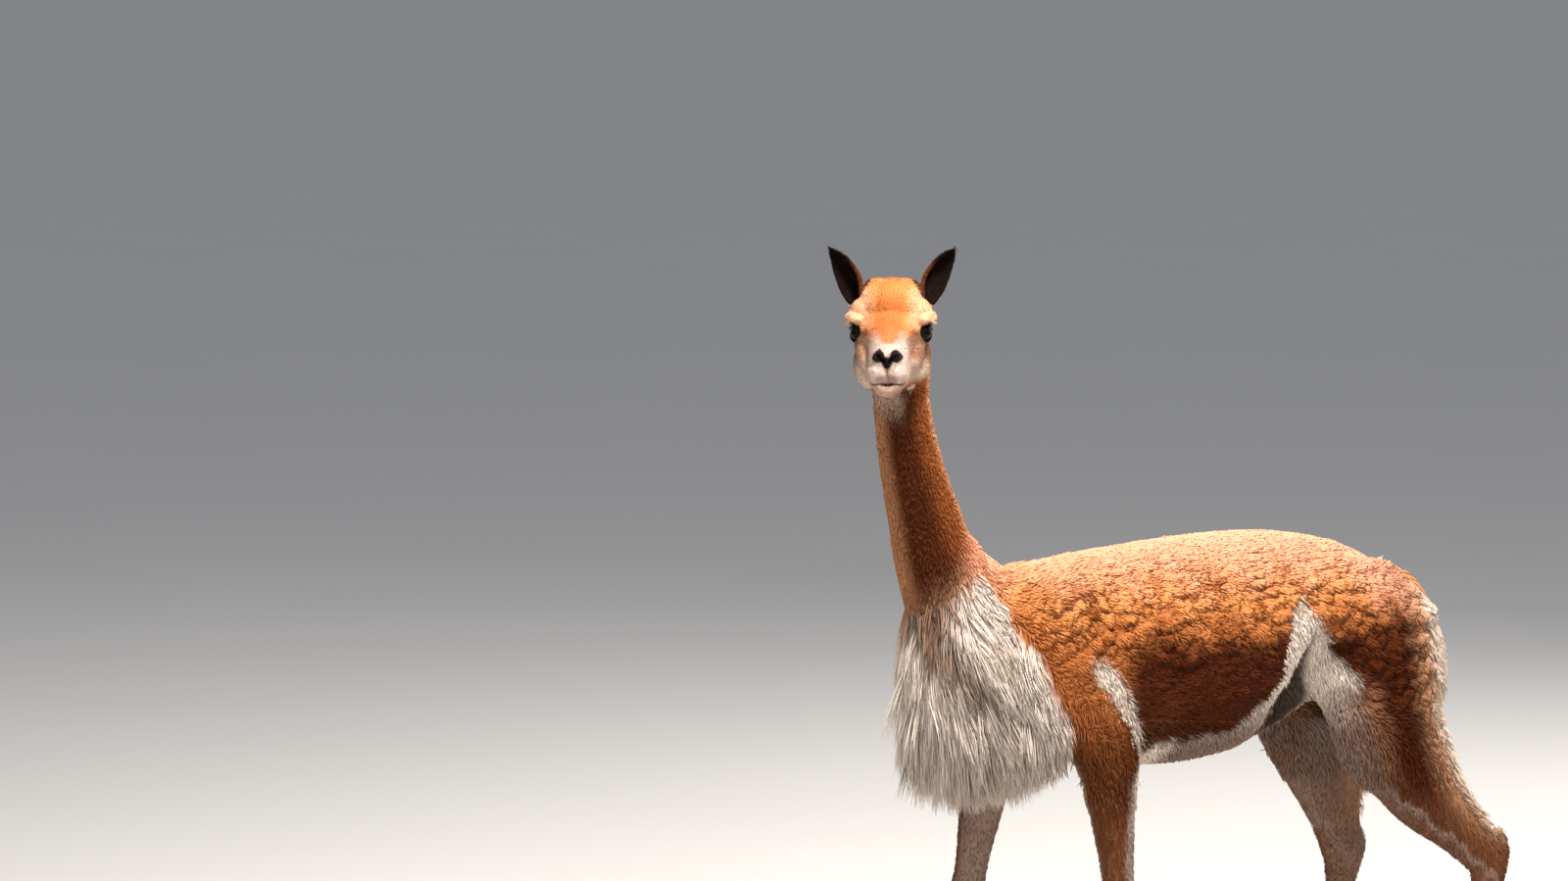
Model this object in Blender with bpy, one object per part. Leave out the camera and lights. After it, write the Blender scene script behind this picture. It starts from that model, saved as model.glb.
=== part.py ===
"""A vicuna at life size, standing still in mid pace with its head turned to its left.

Frame: +Z is up, the animal faces -Y and its left side is +X. All sizes are metres, and the outline
runs to the tips of the coat. The origin is on the floor, under the middle of the whole animal.
"""

import math
import random

import bmesh
import bpy
import numpy as np
from mathutils import Matrix, Vector
from mathutils.bvhtree import BVHTree

# Driving dimensions
BACK = 0.832  # top of the fleece over the loin
BELLY = 0.462  # lowest belly wool
HALF_WIDTH = 0.168  # half the barrel's width, fleece included
LEG_SPREAD = 0.098  # from the middle plane to the middle of each leg
GAP = 0.0003  # clearance between nodes that touch
SIDES = {"left": 1, "right": -1}

# How finely each piece is meshed, in triangles
BODY_TRIANGLES = 1700
WOOLLY_BODY_TRIANGLES = 7840
HEAD_TRIANGLES = 1700
FINISHED_HEAD_TRIANGLES = 2500
LEG_TRIANGLES = 540
TAIL_TRIANGLES = 620

# Cuts that part the animal into its nodes
NECK_CUT = (Vector((0, -0.452, 0.838)), Vector((0, -0.40, 0.916)))
NECK_MIDDLE = (Vector((0, -0.500, 0.955)), Vector((0, -0.20, 0.98)))
HEAD_CUT = (Vector((0, -0.522, 1.062)), Vector((0.10, -0.10, 0.99)))
BIB_CUT = (Vector((0, -0.382, 0.700)), Vector((0, -0.985, -0.170)))
SHOULDER_CUT = -0.145
LOIN_CUT = 0.165
LEG_CUT = 0.452

# Coat
WOOL_DEPTH = 0.024
CLUMPS = 160
CLUMP_LENGTH = 0.090
CLUMP_WIDTH = 0.074
CLUMP_RISE = 0.020
CLUMP_SIDES = 6
BIB_LOCK_LENGTH = 0.135
BIB_LOCK_WIDTH = 0.040
FRINGE_LOCK_LENGTH = 0.085
FRINGE_LOCK_WIDTH = 0.034
TAIL_LOCK_LENGTH = 0.084
TAIL_LOCK_WIDTH = 0.026
LOCK_THICKNESS = 0.013
LOCK_ROOT = 0.009
LOCK_LIFT = 0.023
SEED = 11

# Head, in its own frame: the origin midway between the eyes, -Y to the nose, +X to its left
EYES_MIDDLE = Vector((0.043, -0.553, 1.152))
HEAD_TURN = math.radians(60)
HEAD_LIFT = math.radians(3)
EYE_RADIUS = 0.0180
EYE_PLACE = Vector((0.0430, 0.000, 0.000))
EYE_LOOK = Vector((0.80, -0.60, 0.06)).normalized()
LID_THICKNESS = 0.0026
EAR_LENGTH = 0.093
EAR_HALF_WIDTH = 0.0196
EAR_THICKNESS = 0.0034

COLOURS = {
    "fleece": (0.62, 0.30, 0.11),
    "short_coat": (0.50, 0.24, 0.10),
    "pale_wool": (0.80, 0.74, 0.66),
    "face": (0.70, 0.45, 0.25),
    "ear": (0.09, 0.05, 0.035),
    "eye": (0.012, 0.008, 0.006),
    "nail": (0.05, 0.04, 0.035),
}
ROUGHNESS = {"eye": 0.08, "nail": 0.45}


def clear_scene():
    for obj in list(bpy.data.objects):
        bpy.data.objects.remove(obj)


def material_of(finish):
    found = bpy.data.materials.get(finish)
    if found:
        return found
    made = bpy.data.materials.new(finish)
    made.use_nodes = True
    shader = made.node_tree.nodes["Principled BSDF"]
    shader.inputs["Base Color"].default_value = (*COLOURS[finish], 1)
    shader.inputs["Roughness"].default_value = ROUGHNESS.get(finish, 0.9)
    shader.inputs["Metallic"].default_value = 0
    return made


def object_from(name, bm):
    """A scene object that owns the finished bmesh, its faces turned outwards."""
    bmesh.ops.recalc_face_normals(bm, faces=bm.faces)
    mesh = bpy.data.meshes.new(name)
    bm.to_mesh(mesh)
    bm.free()
    obj = bpy.data.objects.new(name, mesh)
    bpy.context.scene.collection.objects.link(obj)
    return obj


def copy_of(obj, name):
    made = bpy.data.objects.new(name, obj.data.copy())
    bpy.context.scene.collection.objects.link(made)
    return made


def remove(objects):
    for obj in objects:
        bpy.data.objects.remove(obj)


def applied(obj):
    """obj with its modifiers made part of its mesh."""
    bpy.context.view_layer.update()
    graph = bpy.context.evaluated_depsgraph_get()
    mesh = bpy.data.meshes.new_from_object(obj.evaluated_get(graph))
    obj.modifiers.clear()
    obj.data = mesh
    return obj


def smooth_rows(rows, steps):
    """Rows of numbers read along a Catmull-Rom curve through the given rows."""
    rows = np.array(rows, float)
    ends = (2 * rows[0] - rows[1], 2 * rows[-1] - rows[-2])
    padded = np.vstack([ends[0], rows, ends[1]])
    found = []
    for i in range(len(rows) - 1):
        a, b, c, d = padded[i : i + 4]
        for t in np.arange(steps) / steps:
            bend = (2 * a - 5 * b + 4 * c - d) * t**2 + (3 * b - a - 3 * c + d) * t**3
            found.append(0.5 * (2 * b + (c - a) * t + bend))
    found.append(rows[-1])
    return np.array(found)


def skin_over(name, rings):
    """A closed mesh over rings of equal counts, with both ends capped."""
    bm = bmesh.new()
    made = [[bm.verts.new(point) for point in ring] for ring in rings]
    for first, second in zip(made, made[1:]):
        for k in range(len(first)):
            j = (k + 1) % len(first)
            bm.faces.new((first[k], first[j], second[j], second[k]))
    bm.faces.new(made[0])
    bm.faces.new(made[-1])
    return object_from(name, bm)


def power(value, exponent):
    return math.copysign(abs(value) ** exponent, value)


def oval(half_width, top, bottom, squareness, count):
    """Points (side, height) of an oval whose widest line is a little under its middle."""
    middle = bottom + 0.47 * (top - bottom)
    points = []
    for k in range(count):
        angle = math.tau * k / count
        reach = top - middle if math.sin(angle) > 0 else middle - bottom
        side = half_width * power(math.cos(angle), 2 / squareness)
        points.append((side, middle + reach * power(math.sin(angle), 2 / squareness)))
    return points


def tube(name, stations, steps=4, count=20):
    """A closed tube through stations (x, y, z, half width, half depth)."""
    rows = smooth_rows(stations, steps)
    tangents = np.gradient(rows[:, :3], axis=0)
    rings = []
    for row, tangent in zip(rows, tangents):
        along = Vector(tangent).normalized()
        side = (Vector((1, 0, 0)) - along * along.x).normalized()
        deep = along.cross(side)
        ring = []
        for k in range(count):
            angle = math.tau * k / count
            reach = side * row[3] * math.cos(angle) + deep * row[4] * math.sin(angle)
            ring.append(Vector(row[:3]) + reach)
        rings.append(ring)
    return skin_over(name, rings)


def ball(name, place, radii, turn=0.0, segments=20):
    """An ellipsoid, turned about its X axis."""
    bm = bmesh.new()
    rotation = Matrix.Rotation(turn, 4, "X")
    shape = Matrix.Translation(place) @ rotation @ Matrix.Diagonal((*radii, 1))
    bmesh.ops.create_uvsphere(bm, u_segments=segments, v_segments=segments // 2, radius=1, matrix=shape)
    return object_from(name, bm)


def joined(name, pieces):
    bm = bmesh.new()
    for piece in pieces:
        bm.from_mesh(piece.data)
    remove(pieces)
    mesh = bpy.data.meshes.new(name)
    bm.to_mesh(mesh)
    bm.free()
    obj = bpy.data.objects.new(name, mesh)
    bpy.context.scene.collection.objects.link(obj)
    return obj


def fused(name, pieces, voxel, rounds):
    """One closed skin over overlapping pieces, with the joins between them rounded off."""
    obj = joined(name, pieces)
    remesh = obj.modifiers.new("Skin", "REMESH")
    remesh.mode = "VOXEL"
    remesh.voxel_size = voxel
    soften = obj.modifiers.new("Soften", "SMOOTH")
    soften.factor = 0.5
    soften.iterations = rounds
    return applied(obj)


def coarser(obj, triangles):
    """obj with about that many triangles, more of them where it bends most."""
    bm = bmesh.new()
    bm.from_mesh(obj.data)
    bmesh.ops.triangulate(bm, faces=bm.faces)
    bm.to_mesh(obj.data)
    bm.free()
    decimate = obj.modifiers.new("Coarser", "DECIMATE")
    decimate.ratio = min(1.0, triangles / len(obj.data.polygons))
    return applied(obj)


def largest(obj):
    """obj with only its largest closed surface."""
    bm = bmesh.new()
    bm.from_mesh(obj.data)
    waiting = set(bm.faces)
    islands = []
    while waiting:
        stack = [waiting.pop()]
        island = []
        while stack:
            face = stack.pop()
            island.append(face)
            for edge in face.edges:
                for other in edge.link_faces:
                    if other in waiting:
                        waiting.remove(other)
                        stack.append(other)
        islands.append(island)
    islands.sort(key=lambda faces: sum(face.calc_area() for face in faces))
    spare = [face for island in islands[:-1] for face in island]
    bmesh.ops.delete(bm, geom=spare, context="FACES")
    loose = [vert for vert in bm.verts if not vert.link_faces]
    bmesh.ops.delete(bm, geom=loose, context="VERTS")
    bm.to_mesh(obj.data)
    bm.free()
    return obj


def cut(obj, point, towards):
    """obj without what lies past the plane on the side that towards points to. The cut is closed."""
    bm = bmesh.new()
    bm.from_mesh(obj.data)
    geometry = [*bm.verts, *bm.edges, *bm.faces]
    bmesh.ops.bisect_plane(
        bm, geom=geometry, plane_co=point, plane_no=towards, dist=1e-6, clear_outer=True
    )
    rim = [edge for edge in bm.edges if edge.is_boundary]
    bmesh.ops.holes_fill(bm, edges=rim, sides=0)
    bmesh.ops.recalc_face_normals(bm, faces=bm.faces)
    bm.to_mesh(obj.data)
    bm.free()
    return obj


def part_at(obj, name, plane):
    """Splits obj at a plane (point, towards), with the gap between. Returns the piece that lies towards."""
    point, towards = plane[0], plane[1].normalized()
    beyond = copy_of(obj, name)
    cut(obj, point - towards * GAP / 2, towards)
    cut(beyond, point + towards * GAP / 2, -towards)
    return largest(beyond)


def combine(obj, others, operation, solver="EXACT"):
    """One Boolean of obj with a collection of closed meshes, which are then removed."""
    group = bpy.data.collections.new("operands")
    for other in others:
        group.objects.link(other)
    boolean = obj.modifiers.new("Combine", "BOOLEAN")
    boolean.operation = operation
    boolean.operand_type = "COLLECTION"
    boolean.collection = group
    boolean.solver = solver
    applied(obj)
    remove(others)
    bpy.data.collections.remove(group)
    return largest(obj)


def meet(piece, host):
    """Cuts the root of piece back to the surface of host, with the gap between them."""
    swollen = copy_of(host, "swollen")
    displace = swollen.modifiers.new("Gap", "DISPLACE")
    displace.mid_level = 0
    displace.strength = GAP
    return combine(piece, [applied(swollen)], "DIFFERENCE")


def tree_of(obj):
    bm = bmesh.new()
    bm.from_mesh(obj.data)
    tree = BVHTree.FromBMesh(bm)
    bm.free()
    return tree


def ease(low, high, value):
    """0 below low and 1 above high, with a smooth rise between."""
    t = min(1.0, max(0.0, (value - low) / (high - low)))
    return t * t * (3 - 2 * t)


# Trunk, the mass of chest, barrel and rump.
# Each row: place along Y, drop of the top below BACK, rise of the bottom above BELLY, share of width
TRUNK_ROWS = (
    (-0.425, 0.150, 0.120, 0.40),
    (-0.385, 0.085, 0.066, 0.64),
    (-0.310, 0.046, 0.028, 0.84),
    (-0.190, 0.025, 0.008, 0.94),
    (-0.040, 0.009, 0.003, 1.00),
    (0.090, 0.002, 0.030, 1.00),
    (0.190, 0.010, 0.076, 0.96),
    (0.275, 0.034, 0.096, 0.90),
    (0.338, 0.078, 0.105, 0.78),
    (0.378, 0.148, 0.120, 0.55),
)
TRUNK_SQUARENESS = 2.25
# The hollow between the fold of each flank and the thigh. Each row: height, its front and rear along Y
HOLLOW_ROWS = (
    (0.440, -0.050, 0.233),
    (0.508, -0.010, 0.215),
    (0.559, 0.063, 0.198),
    (0.605, 0.100, 0.186),
    (0.652, 0.130, 0.171),
    (0.685, 0.148, 0.158),
)
HOLLOW_SHARE = 0.38  # of the half width, where it is deepest


def hollow(y, z):
    """How much narrower the trunk is at a place in the hollow, as a share of its width."""
    heights, fronts, rears = zip(*HOLLOW_ROWS)
    front = float(np.interp(z, heights, fronts))
    rear = float(np.interp(z, heights, rears))
    across = ease(front - 0.014, front + 0.026, y) * (1 - ease(rear, rear + 0.05, y))
    return HOLLOW_SHARE * across * (1 - ease(0.600, 0.700, z))


def trunk():
    rings = []
    for y, drop, rise, share in smooth_rows(TRUNK_ROWS, 4):
        outline = oval(HALF_WIDTH * share, BACK - drop, BELLY + rise, TRUNK_SQUARENESS, 32)
        rings.append([Vector((x * (1 - hollow(y, z)), y, z)) for x, z in outline])
    return skin_over("trunk", rings)


def body_masses():
    """The breast under the bib, the shoulders and the haunches."""
    pieces = [ball("breast", (0, -0.402, 0.625), (0.116, 0.102, 0.150))]
    for side in SIDES.values():
        pieces += [
            ball("shoulder", (side * 0.090, -0.275, 0.640), (0.068, 0.098, 0.150), -0.25),
            ball("haunch", (side * 0.088, 0.270, 0.640), (0.078, 0.122, 0.150), 0.15),
            ball("buttock", (side * 0.066, 0.338, 0.590), (0.066, 0.080, 0.125)),
        ]
    return pieces


# Neck. Each row: place along Y, height, half width, half depth
NECK_ROWS = (
    (-0.345, 0.630, 0.100, 0.135),
    (-0.405, 0.725, 0.080, 0.100),
    (-0.4540, 0.805, 0.0590, 0.0700),
    (-0.4710, 0.860, 0.0525, 0.0620),
    (-0.4860, 0.910, 0.0500, 0.0565),
    (-0.5010, 0.970, 0.0465, 0.0515),
    (-0.5135, 1.030, 0.0445, 0.0480),
    (-0.5190, 1.080, 0.0440, 0.0465),
    (-0.5160, 1.120, 0.0420, 0.0440),
    (-0.5160, 1.146, 0.0330, 0.0350),
    (-0.5160, 1.162, 0.0160, 0.0180),
)


def neck():
    # The top of the neck leans a little towards the way that the head looks.
    lean = [0.012 * ease(0.95, 1.12, row[1]) for row in NECK_ROWS]
    return tube("neck", [(x, *row) for x, row in zip(lean, NECK_ROWS)], 4, 28)


# Legs. The joints' places (Y, height): the left legs are back and the right legs forward, as in a pace
FORE_JOINTS = {
    "left": {"shoulder": (-0.285, 0.640), "elbow": (-0.205, 0.505), "knee": (-0.182, 0.272),
             "fetlock": (-0.152, 0.076)},
    "right": {"shoulder": (-0.290, 0.640), "elbow": (-0.300, 0.505), "knee": (-0.343, 0.272),
              "fetlock": (-0.345, 0.076)},
}
HIND_JOINTS = {
    "left": {"hip": (0.275, 0.690), "thigh": (0.304, 0.505), "shank": (0.377, 0.398),
             "hock": (0.486, 0.292), "fetlock": (0.508, 0.076)},
    "right": {"hip": (0.275, 0.690), "thigh": (0.272, 0.520), "shank": (0.310, 0.400),
              "hock": (0.338, 0.290), "fetlock": (0.330, 0.076)},
}

# Each row: from one joint to the next, share of the way, half width, half depth
FORE_ROWS = (
    ("shoulder", "elbow", 0.00, 0.060, 0.090),
    ("shoulder", "elbow", 0.75, 0.050, 0.066),
    ("elbow", "knee", 0.10, 0.043, 0.054),
    ("elbow", "knee", 0.32, 0.035, 0.042),
    ("elbow", "knee", 0.65, 0.0270, 0.0310),
    ("elbow", "knee", 0.88, 0.0245, 0.0265),
    ("elbow", "knee", 1.00, 0.0265, 0.0290),
    ("knee", "fetlock", 0.15, 0.0235, 0.0260),
    ("knee", "fetlock", 0.35, 0.0180, 0.0200),
    ("knee", "fetlock", 0.70, 0.0175, 0.0195),
    ("knee", "fetlock", 0.88, 0.0200, 0.0225),
    ("knee", "fetlock", 1.00, 0.0225, 0.0255),
)
HIND_ROWS = (
    ("hip", "thigh", 0.00, 0.062, 0.112),
    ("hip", "thigh", 0.60, 0.062, 0.108),
    ("thigh", "shank", 0.00, 0.056, 0.098),
    ("thigh", "shank", 0.50, 0.048, 0.081),
    ("thigh", "shank", 1.00, 0.0400, 0.0630),
    ("shank", "hock", 0.55, 0.0300, 0.0430),
    ("shank", "hock", 1.00, 0.0275, 0.0370),
    ("hock", "fetlock", 0.16, 0.0245, 0.0290),
    ("hock", "fetlock", 0.40, 0.0190, 0.0215),
    ("hock", "fetlock", 0.72, 0.0180, 0.0205),
    ("hock", "fetlock", 0.88, 0.0205, 0.0235),
    ("hock", "fetlock", 1.00, 0.0230, 0.0265),
)
TOE_SPREAD = 0.0140
TOE_RADII = (0.0138, 0.036, 0.0215)
TOE_HEIGHT = 0.0165
TOE_REACH = 0.026


def leg_stations(side, joints, rows, start=0):
    stations = []
    for first, second, share, half_width, half_depth in rows[start:]:
        (y0, z0), (y1, z1) = joints[first], joints[second]
        place = (side * LEG_SPREAD, y0 + share * (y1 - y0), z0 + share * (z1 - z0))
        stations.append((*place, half_width, half_depth))
    return stations


def hock_point(side, joints):
    """The heel bone, which stands out behind the hock."""
    y, z = joints["hock"]
    x = side * LEG_SPREAD
    stations = ((x, y + 0.004, z - 0.050, 0.016, 0.018), (x, y + 0.020, z - 0.012, 0.0165, 0.0185),
                (x, y + 0.026, z + 0.016, 0.0155, 0.0165), (x, y + 0.016, z + 0.046, 0.012, 0.012))
    return tube("hock_point", stations, 3, 14)


def toes(side, fetlock_y):
    """The pastern and the two toes, which stand on their pads."""
    x = side * LEG_SPREAD
    y = fetlock_y
    pastern = ((x, y, 0.080, 0.0220, 0.0250), (x, y - 0.005, 0.055, 0.0205, 0.0215),
               (x, y - 0.014, 0.034, 0.0200, 0.0200), (x, y - 0.020, 0.022, 0.0180, 0.0190))
    pieces = [tube("pastern", pastern, 3, 16)]
    for toe in (-1, 1):
        place = (x + toe * TOE_SPREAD, y - TOE_REACH, TOE_HEIGHT)
        pieces.append(ball("toe", place, TOE_RADII, 0.06, 16))
    return pieces


def upper_legs():
    """The parts of the legs that belong to the trunk's skin, down past the leg cut."""
    pieces = []
    for name, side in SIDES.items():
        pieces.append(tube("upper", leg_stations(side, FORE_JOINTS[name], FORE_ROWS[:6])))
        pieces.append(tube("upper", leg_stations(side, HIND_JOINTS[name], HIND_ROWS[:6])))
    return pieces


def outline_body():
    """Trunk, neck and the tops of the legs as one skin, out to the tips of the coat."""
    return fused("body", [trunk(), *body_masses(), neck(), *upper_legs()], 0.006, 12)


def lower_leg(name, side, joints, rows, hind):
    """A leg from above the leg cut down to the flats of its pads."""
    pieces = [tube("shaft", leg_stations(side, joints, rows, 1)), *toes(side, joints["fetlock"][0])]
    if hind:
        pieces.append(hock_point(side, joints))
    leg = coarser(fused(name, pieces, 0.0030, 4), LEG_TRIANGLES)
    return cut(leg, Vector((0, 0, 0)), Vector((0, 0, -1)))


# Head. Each row: distance before the eyes, top, bottom, half width, height of the widest line
HEAD_ROWS = (
    (-0.104, 0.040, -0.020, 0.026, 0.010),
    (-0.096, 0.060, -0.050, 0.040, 0.005),
    (-0.074, 0.080, -0.078, 0.050, 0.000),
    (-0.045, 0.086, -0.088, 0.054, -0.004),
    (-0.018, 0.074, -0.091, 0.056, -0.010),
    (0.008, 0.056, -0.092, 0.053, -0.018),
    (0.032, 0.034, -0.092, 0.044, -0.034),
    (0.058, 0.012, -0.093, 0.0350, -0.044),
    (0.084, -0.008, -0.095, 0.0315, -0.052),
    (0.106, -0.017, -0.098, 0.0300, -0.056),
    (0.122, -0.024, -0.096, 0.0270, -0.058),
    (0.132, -0.034, -0.088, 0.0200, -0.060),
)


def head_frame():
    turn = Matrix.Rotation(HEAD_TURN, 4, "Z") @ Matrix.Rotation(-HEAD_LIFT, 4, "X")
    return Matrix.Translation(EYES_MIDDLE) @ turn


def skull():
    rings = []
    for reach, top, bottom, half_width, middle in smooth_rows(HEAD_ROWS, 3):
        ring = []
        for k in range(28):
            angle = math.tau * k / 28
            rise = top - middle if math.sin(angle) > 0 else middle - bottom
            x = half_width * power(math.cos(angle), 2 / 2.2)
            ring.append(Vector((x, -reach, middle + rise * power(math.sin(angle), 2 / 2.2))))
        rings.append(ring)
    return skin_over("skull", rings)


def mirrored(vector, side):
    return Vector((vector[0] * side, vector[1], vector[2]))


def face_masses():
    """Brows, lids, cheeks, nose, lips and chin, all in the head's own frame."""
    pieces = [
        ball("nose", (0, -0.1240, -0.0410), (0.0240, 0.0150, 0.0180)),
        ball("chin", (0, -0.104, -0.0860), (0.0170, 0.0240, 0.0120)),
        ball("forehead", (0, 0.014, 0.038), (0.0530, 0.047, 0.042)),
        ball("nape", (0, 0.058, -0.040), (0.0400, 0.042, 0.080)),
    ]
    lid = EYE_RADIUS + LID_THICKNESS
    for side in SIDES.values():
        pieces += [
            ball("lip", (side * 0.0130, -0.1200, -0.0600), (0.0185, 0.0180, 0.0185)),
            ball("lids", mirrored(EYE_PLACE, side), (lid, lid, lid), 0, 28),
            ball("brow", (side * 0.0490, 0.004, 0.0240), (0.0225, 0.0280, 0.0130), 0.15),
            ball("crown", (side * 0.0200, 0.030, 0.0540), (0.0320, 0.0360, 0.0310)),
            ball("temple", (side * 0.0440, 0.026, 0.0200), (0.0180, 0.0260, 0.0300)),
            ball("cheekbone", (side * 0.0365, -0.012, -0.0290), (0.0172, 0.0520, 0.0205), 0.36),
            ball("jaw", (side * 0.0330, 0.026, -0.0480), (0.0260, 0.0500, 0.0430)),
        ]
    return pieces


def surface_path(points, tree, steps):
    """A smooth path through the points, laid on the surface, with the normal at each."""
    path = []
    for point in smooth_rows(points, steps):
        place, normal, _, _ = tree.find_nearest(Vector(point))
        path.append((place, normal))
    return path


def groove(name, points, tree, width, depth, steps=4):
    """A cutter along a path on the surface: widest in its middle, with pointed ends."""
    path = surface_path(points, tree, steps)
    rings = []
    for i, (place, normal) in enumerate(path):
        before = path[max(i - 1, 0)][0]
        after = path[min(i + 1, len(path) - 1)][0]
        across = (after - before).normalized().cross(normal).normalized()
        share = 0.25 + 0.75 * math.sin(math.pi * i / (len(path) - 1)) ** 0.6
        ring = []
        for k in range(6):
            angle = math.tau * k / 6
            reach = across * math.cos(angle) * width / 2 * share + normal * math.sin(angle) * depth * share
            ring.append(place + reach)
        rings.append(ring)
    return skin_over(name, rings)


def eye_opening(side):
    """An almond prism that opens the lids along the way the eye looks."""
    place = mirrored(EYE_PLACE, side)
    look = mirrored(EYE_LOOK, side)
    along = Vector((0, 0, 1)).cross(look).normalized() * side
    up = look.cross(along).normalized() * side
    half_length, half_height, droop = 0.0168, 0.0128, 0.10
    rings = []
    for depth in (0.004, 0.034):
        ring = []
        for k in range(14):
            angle = math.tau * k / 14
            a = half_length * math.cos(angle)
            b = half_height * power(math.sin(angle), 1.25)
            tilt = a * math.cos(droop) - b * math.sin(droop), a * math.sin(droop) + b * math.cos(droop)
            ring.append(place + look * depth + along * tilt[0] + up * tilt[1])
        rings.append(ring)
    return skin_over("opening", rings)


def head():
    """The head in its own frame, down into the top of the neck, with lids, nostrils and mouth."""
    inverse = head_frame().inverted()
    collar = neck()
    collar.data.transform(inverse)
    pieces = [skull(), *face_masses(), collar]
    made = fused("head", pieces, 0.0022, 9)
    point, towards = HEAD_CUT[0], HEAD_CUT[1].normalized()
    point = inverse @ (point + towards * GAP / 2)
    made = cut(made, point, inverse.to_3x3() @ -towards)
    made = coarser(largest(made), HEAD_TRIANGLES)
    tree = tree_of(made)
    cutters = [
        groove("mouth", [(0.033, -0.060, -0.0700), (0.030, -0.092, -0.0730), (0.020, -0.125, -0.0765),
                         (0.0, -0.150, -0.0775), (-0.020, -0.125, -0.0765), (-0.030, -0.092, -0.0730),
                         (-0.033, -0.060, -0.0700)], tree, 0.0034, 0.0050, 3),
        ball("philtrum", (0, -0.1400, -0.0600), (0.0016, 0.0060, 0.0140), 0, 10),
    ]
    for side in SIDES.values():
        nostril = [(side * 0.0195, -0.126, -0.0290), (side * 0.0150, -0.140, -0.0330),
                   (side * 0.0080, -0.148, -0.0415), (side * 0.0030, -0.150, -0.0500)]
        cutters.append(groove("nostril", nostril, tree, 0.0088, 0.0075, 2))
        cutters.append(ball("socket", mirrored(EYE_PLACE, side), [EYE_RADIUS + GAP] * 3, 0, 16))
        cutters.append(eye_opening(side))
    made = coarser(combine(made, cutters, "DIFFERENCE"), FINISHED_HEAD_TRIANGLES)
    made.data.transform(head_frame())
    return made


def eye(name, side):
    obj = ball(name, mirrored(EYE_PLACE, side), [EYE_RADIUS] * 3, 0, 16)
    obj.data.transform(head_frame())
    return obj


# Ear. Each row: share of the length, share of the width, how far each side curls round, in degrees
EAR_ROWS = (
    (-0.16, 0.62, 150),
    (0.00, 0.70, 140),
    (0.14, 0.84, 118),
    (0.34, 1.00, 92),
    (0.56, 0.96, 74),
    (0.76, 0.72, 62),
    (0.91, 0.38, 55),
    (1.00, 0.09, 50),
)
EAR_ROOT = Vector((0.0478, 0.030, 0.0480))
EAR_AXIS = Vector((0.50, 0.08, 0.85)).normalized()
EAR_OPENING = Vector((0.42, -0.90, 0.0))


def ear(name, side, host):
    """A long cupped ear that opens forwards and outwards, narrow at its root and pointed."""
    root = mirrored(EAR_ROOT, side)
    axis = mirrored(EAR_AXIS, side)
    facing = mirrored(EAR_OPENING, side)
    facing = (facing - axis * facing.dot(axis)).normalized()
    across = axis.cross(facing)
    rings = []
    for share, width, curl in smooth_rows(EAR_ROWS, 1):
        reach = math.radians(curl)
        half_width = EAR_HALF_WIDTH * width
        radius = half_width / max(math.sin(min(reach, math.pi / 2)), 0.2)
        thin = EAR_THICKNESS * (0.45 + 0.55 * min(1, width * 1.3))
        middle = root + axis * EAR_LENGTH * share + facing * radius * 0.5
        middle += facing * 0.010 * math.sin(math.pi * max(share, 0)) * -1
        ring = []
        for rim, size in ((1, radius), (-1, max(radius - thin, radius * 0.25))):
            for k in range(7):
                angle = rim * (k / 6 * 2 - 1) * reach
                ring.append(middle - facing * size * math.cos(angle) + across * size * math.sin(angle))
        rings.append(ring)
    obj = skin_over(name, rings)
    obj.data.transform(head_frame())
    return meet(obj, host)


def wool_share(point):
    """1 where the curly fleece grows, 0 on the neck, belly, bib, legs and under the tail."""
    x, y, z = point
    beside_tail = 0.04 + 0.055 * (1 - ease(0.70, 0.74, z))
    under_tail = ease(0.33, 0.35, y) * (1 - ease(beside_tail, beside_tail + 0.015, abs(x)))
    neck_side = ease(0.000, 0.030, y + 0.385 - 0.46 * max(0.0, 0.79 - z) - 0.30 * max(0.0, z - 0.79))
    lower = ease(0.520, 0.560, z)
    return neck_side * lower * (1 - under_tail)


def push_in(obj, depth_at):
    """Moves each vertex inwards along its normal by depth_at(place)."""
    bm = bmesh.new()
    bm.from_mesh(obj.data)
    bm.normal_update()
    moves = [(vert, vert.normal * depth_at(vert.co)) for vert in bm.verts]
    for vert, move in moves:
        vert.co -= move
    bm.to_mesh(obj.data)
    bm.free()
    return obj


def spread_evenly(obj, count, share_at, rng, samples=5000, rounds=12):
    """Places with their normals, spread evenly over the surface where share_at is high."""
    bm = bmesh.new()
    bm.from_mesh(obj.data)
    faces = [face for face in bm.faces if share_at(face.calc_center_median()) > 0.3]
    areas = [face.calc_area() for face in faces]
    points = []
    for face in rng.choices(faces, areas, k=samples):
        a, b = sorted((rng.random(), rng.random()))
        corners = [vert.co for vert in face.verts[:3]]
        points.append(corners[0] * a + corners[1] * (b - a) + corners[2] * (1 - b))
    points = np.array(points)
    centres = points[:count].copy()
    for _ in range(rounds):
        nearest = np.linalg.norm(points[:, None] - centres[None], axis=2).argmin(axis=1)
        for i in range(count):
            centres[i] = points[nearest == i].mean(axis=0)
    tree = BVHTree.FromBMesh(bm)
    bm.free()
    return [tree.find_nearest(Vector(centre))[:2] for centre in centres]


def lie_at(place, normal):
    """The way the coat lies at a place: back along the body and down its sides."""
    flow = Vector((0, 1.0, -0.55 - 0.8 * (1 - abs(normal.z))))
    return (flow - normal * flow.dot(normal)).normalized()


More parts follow.
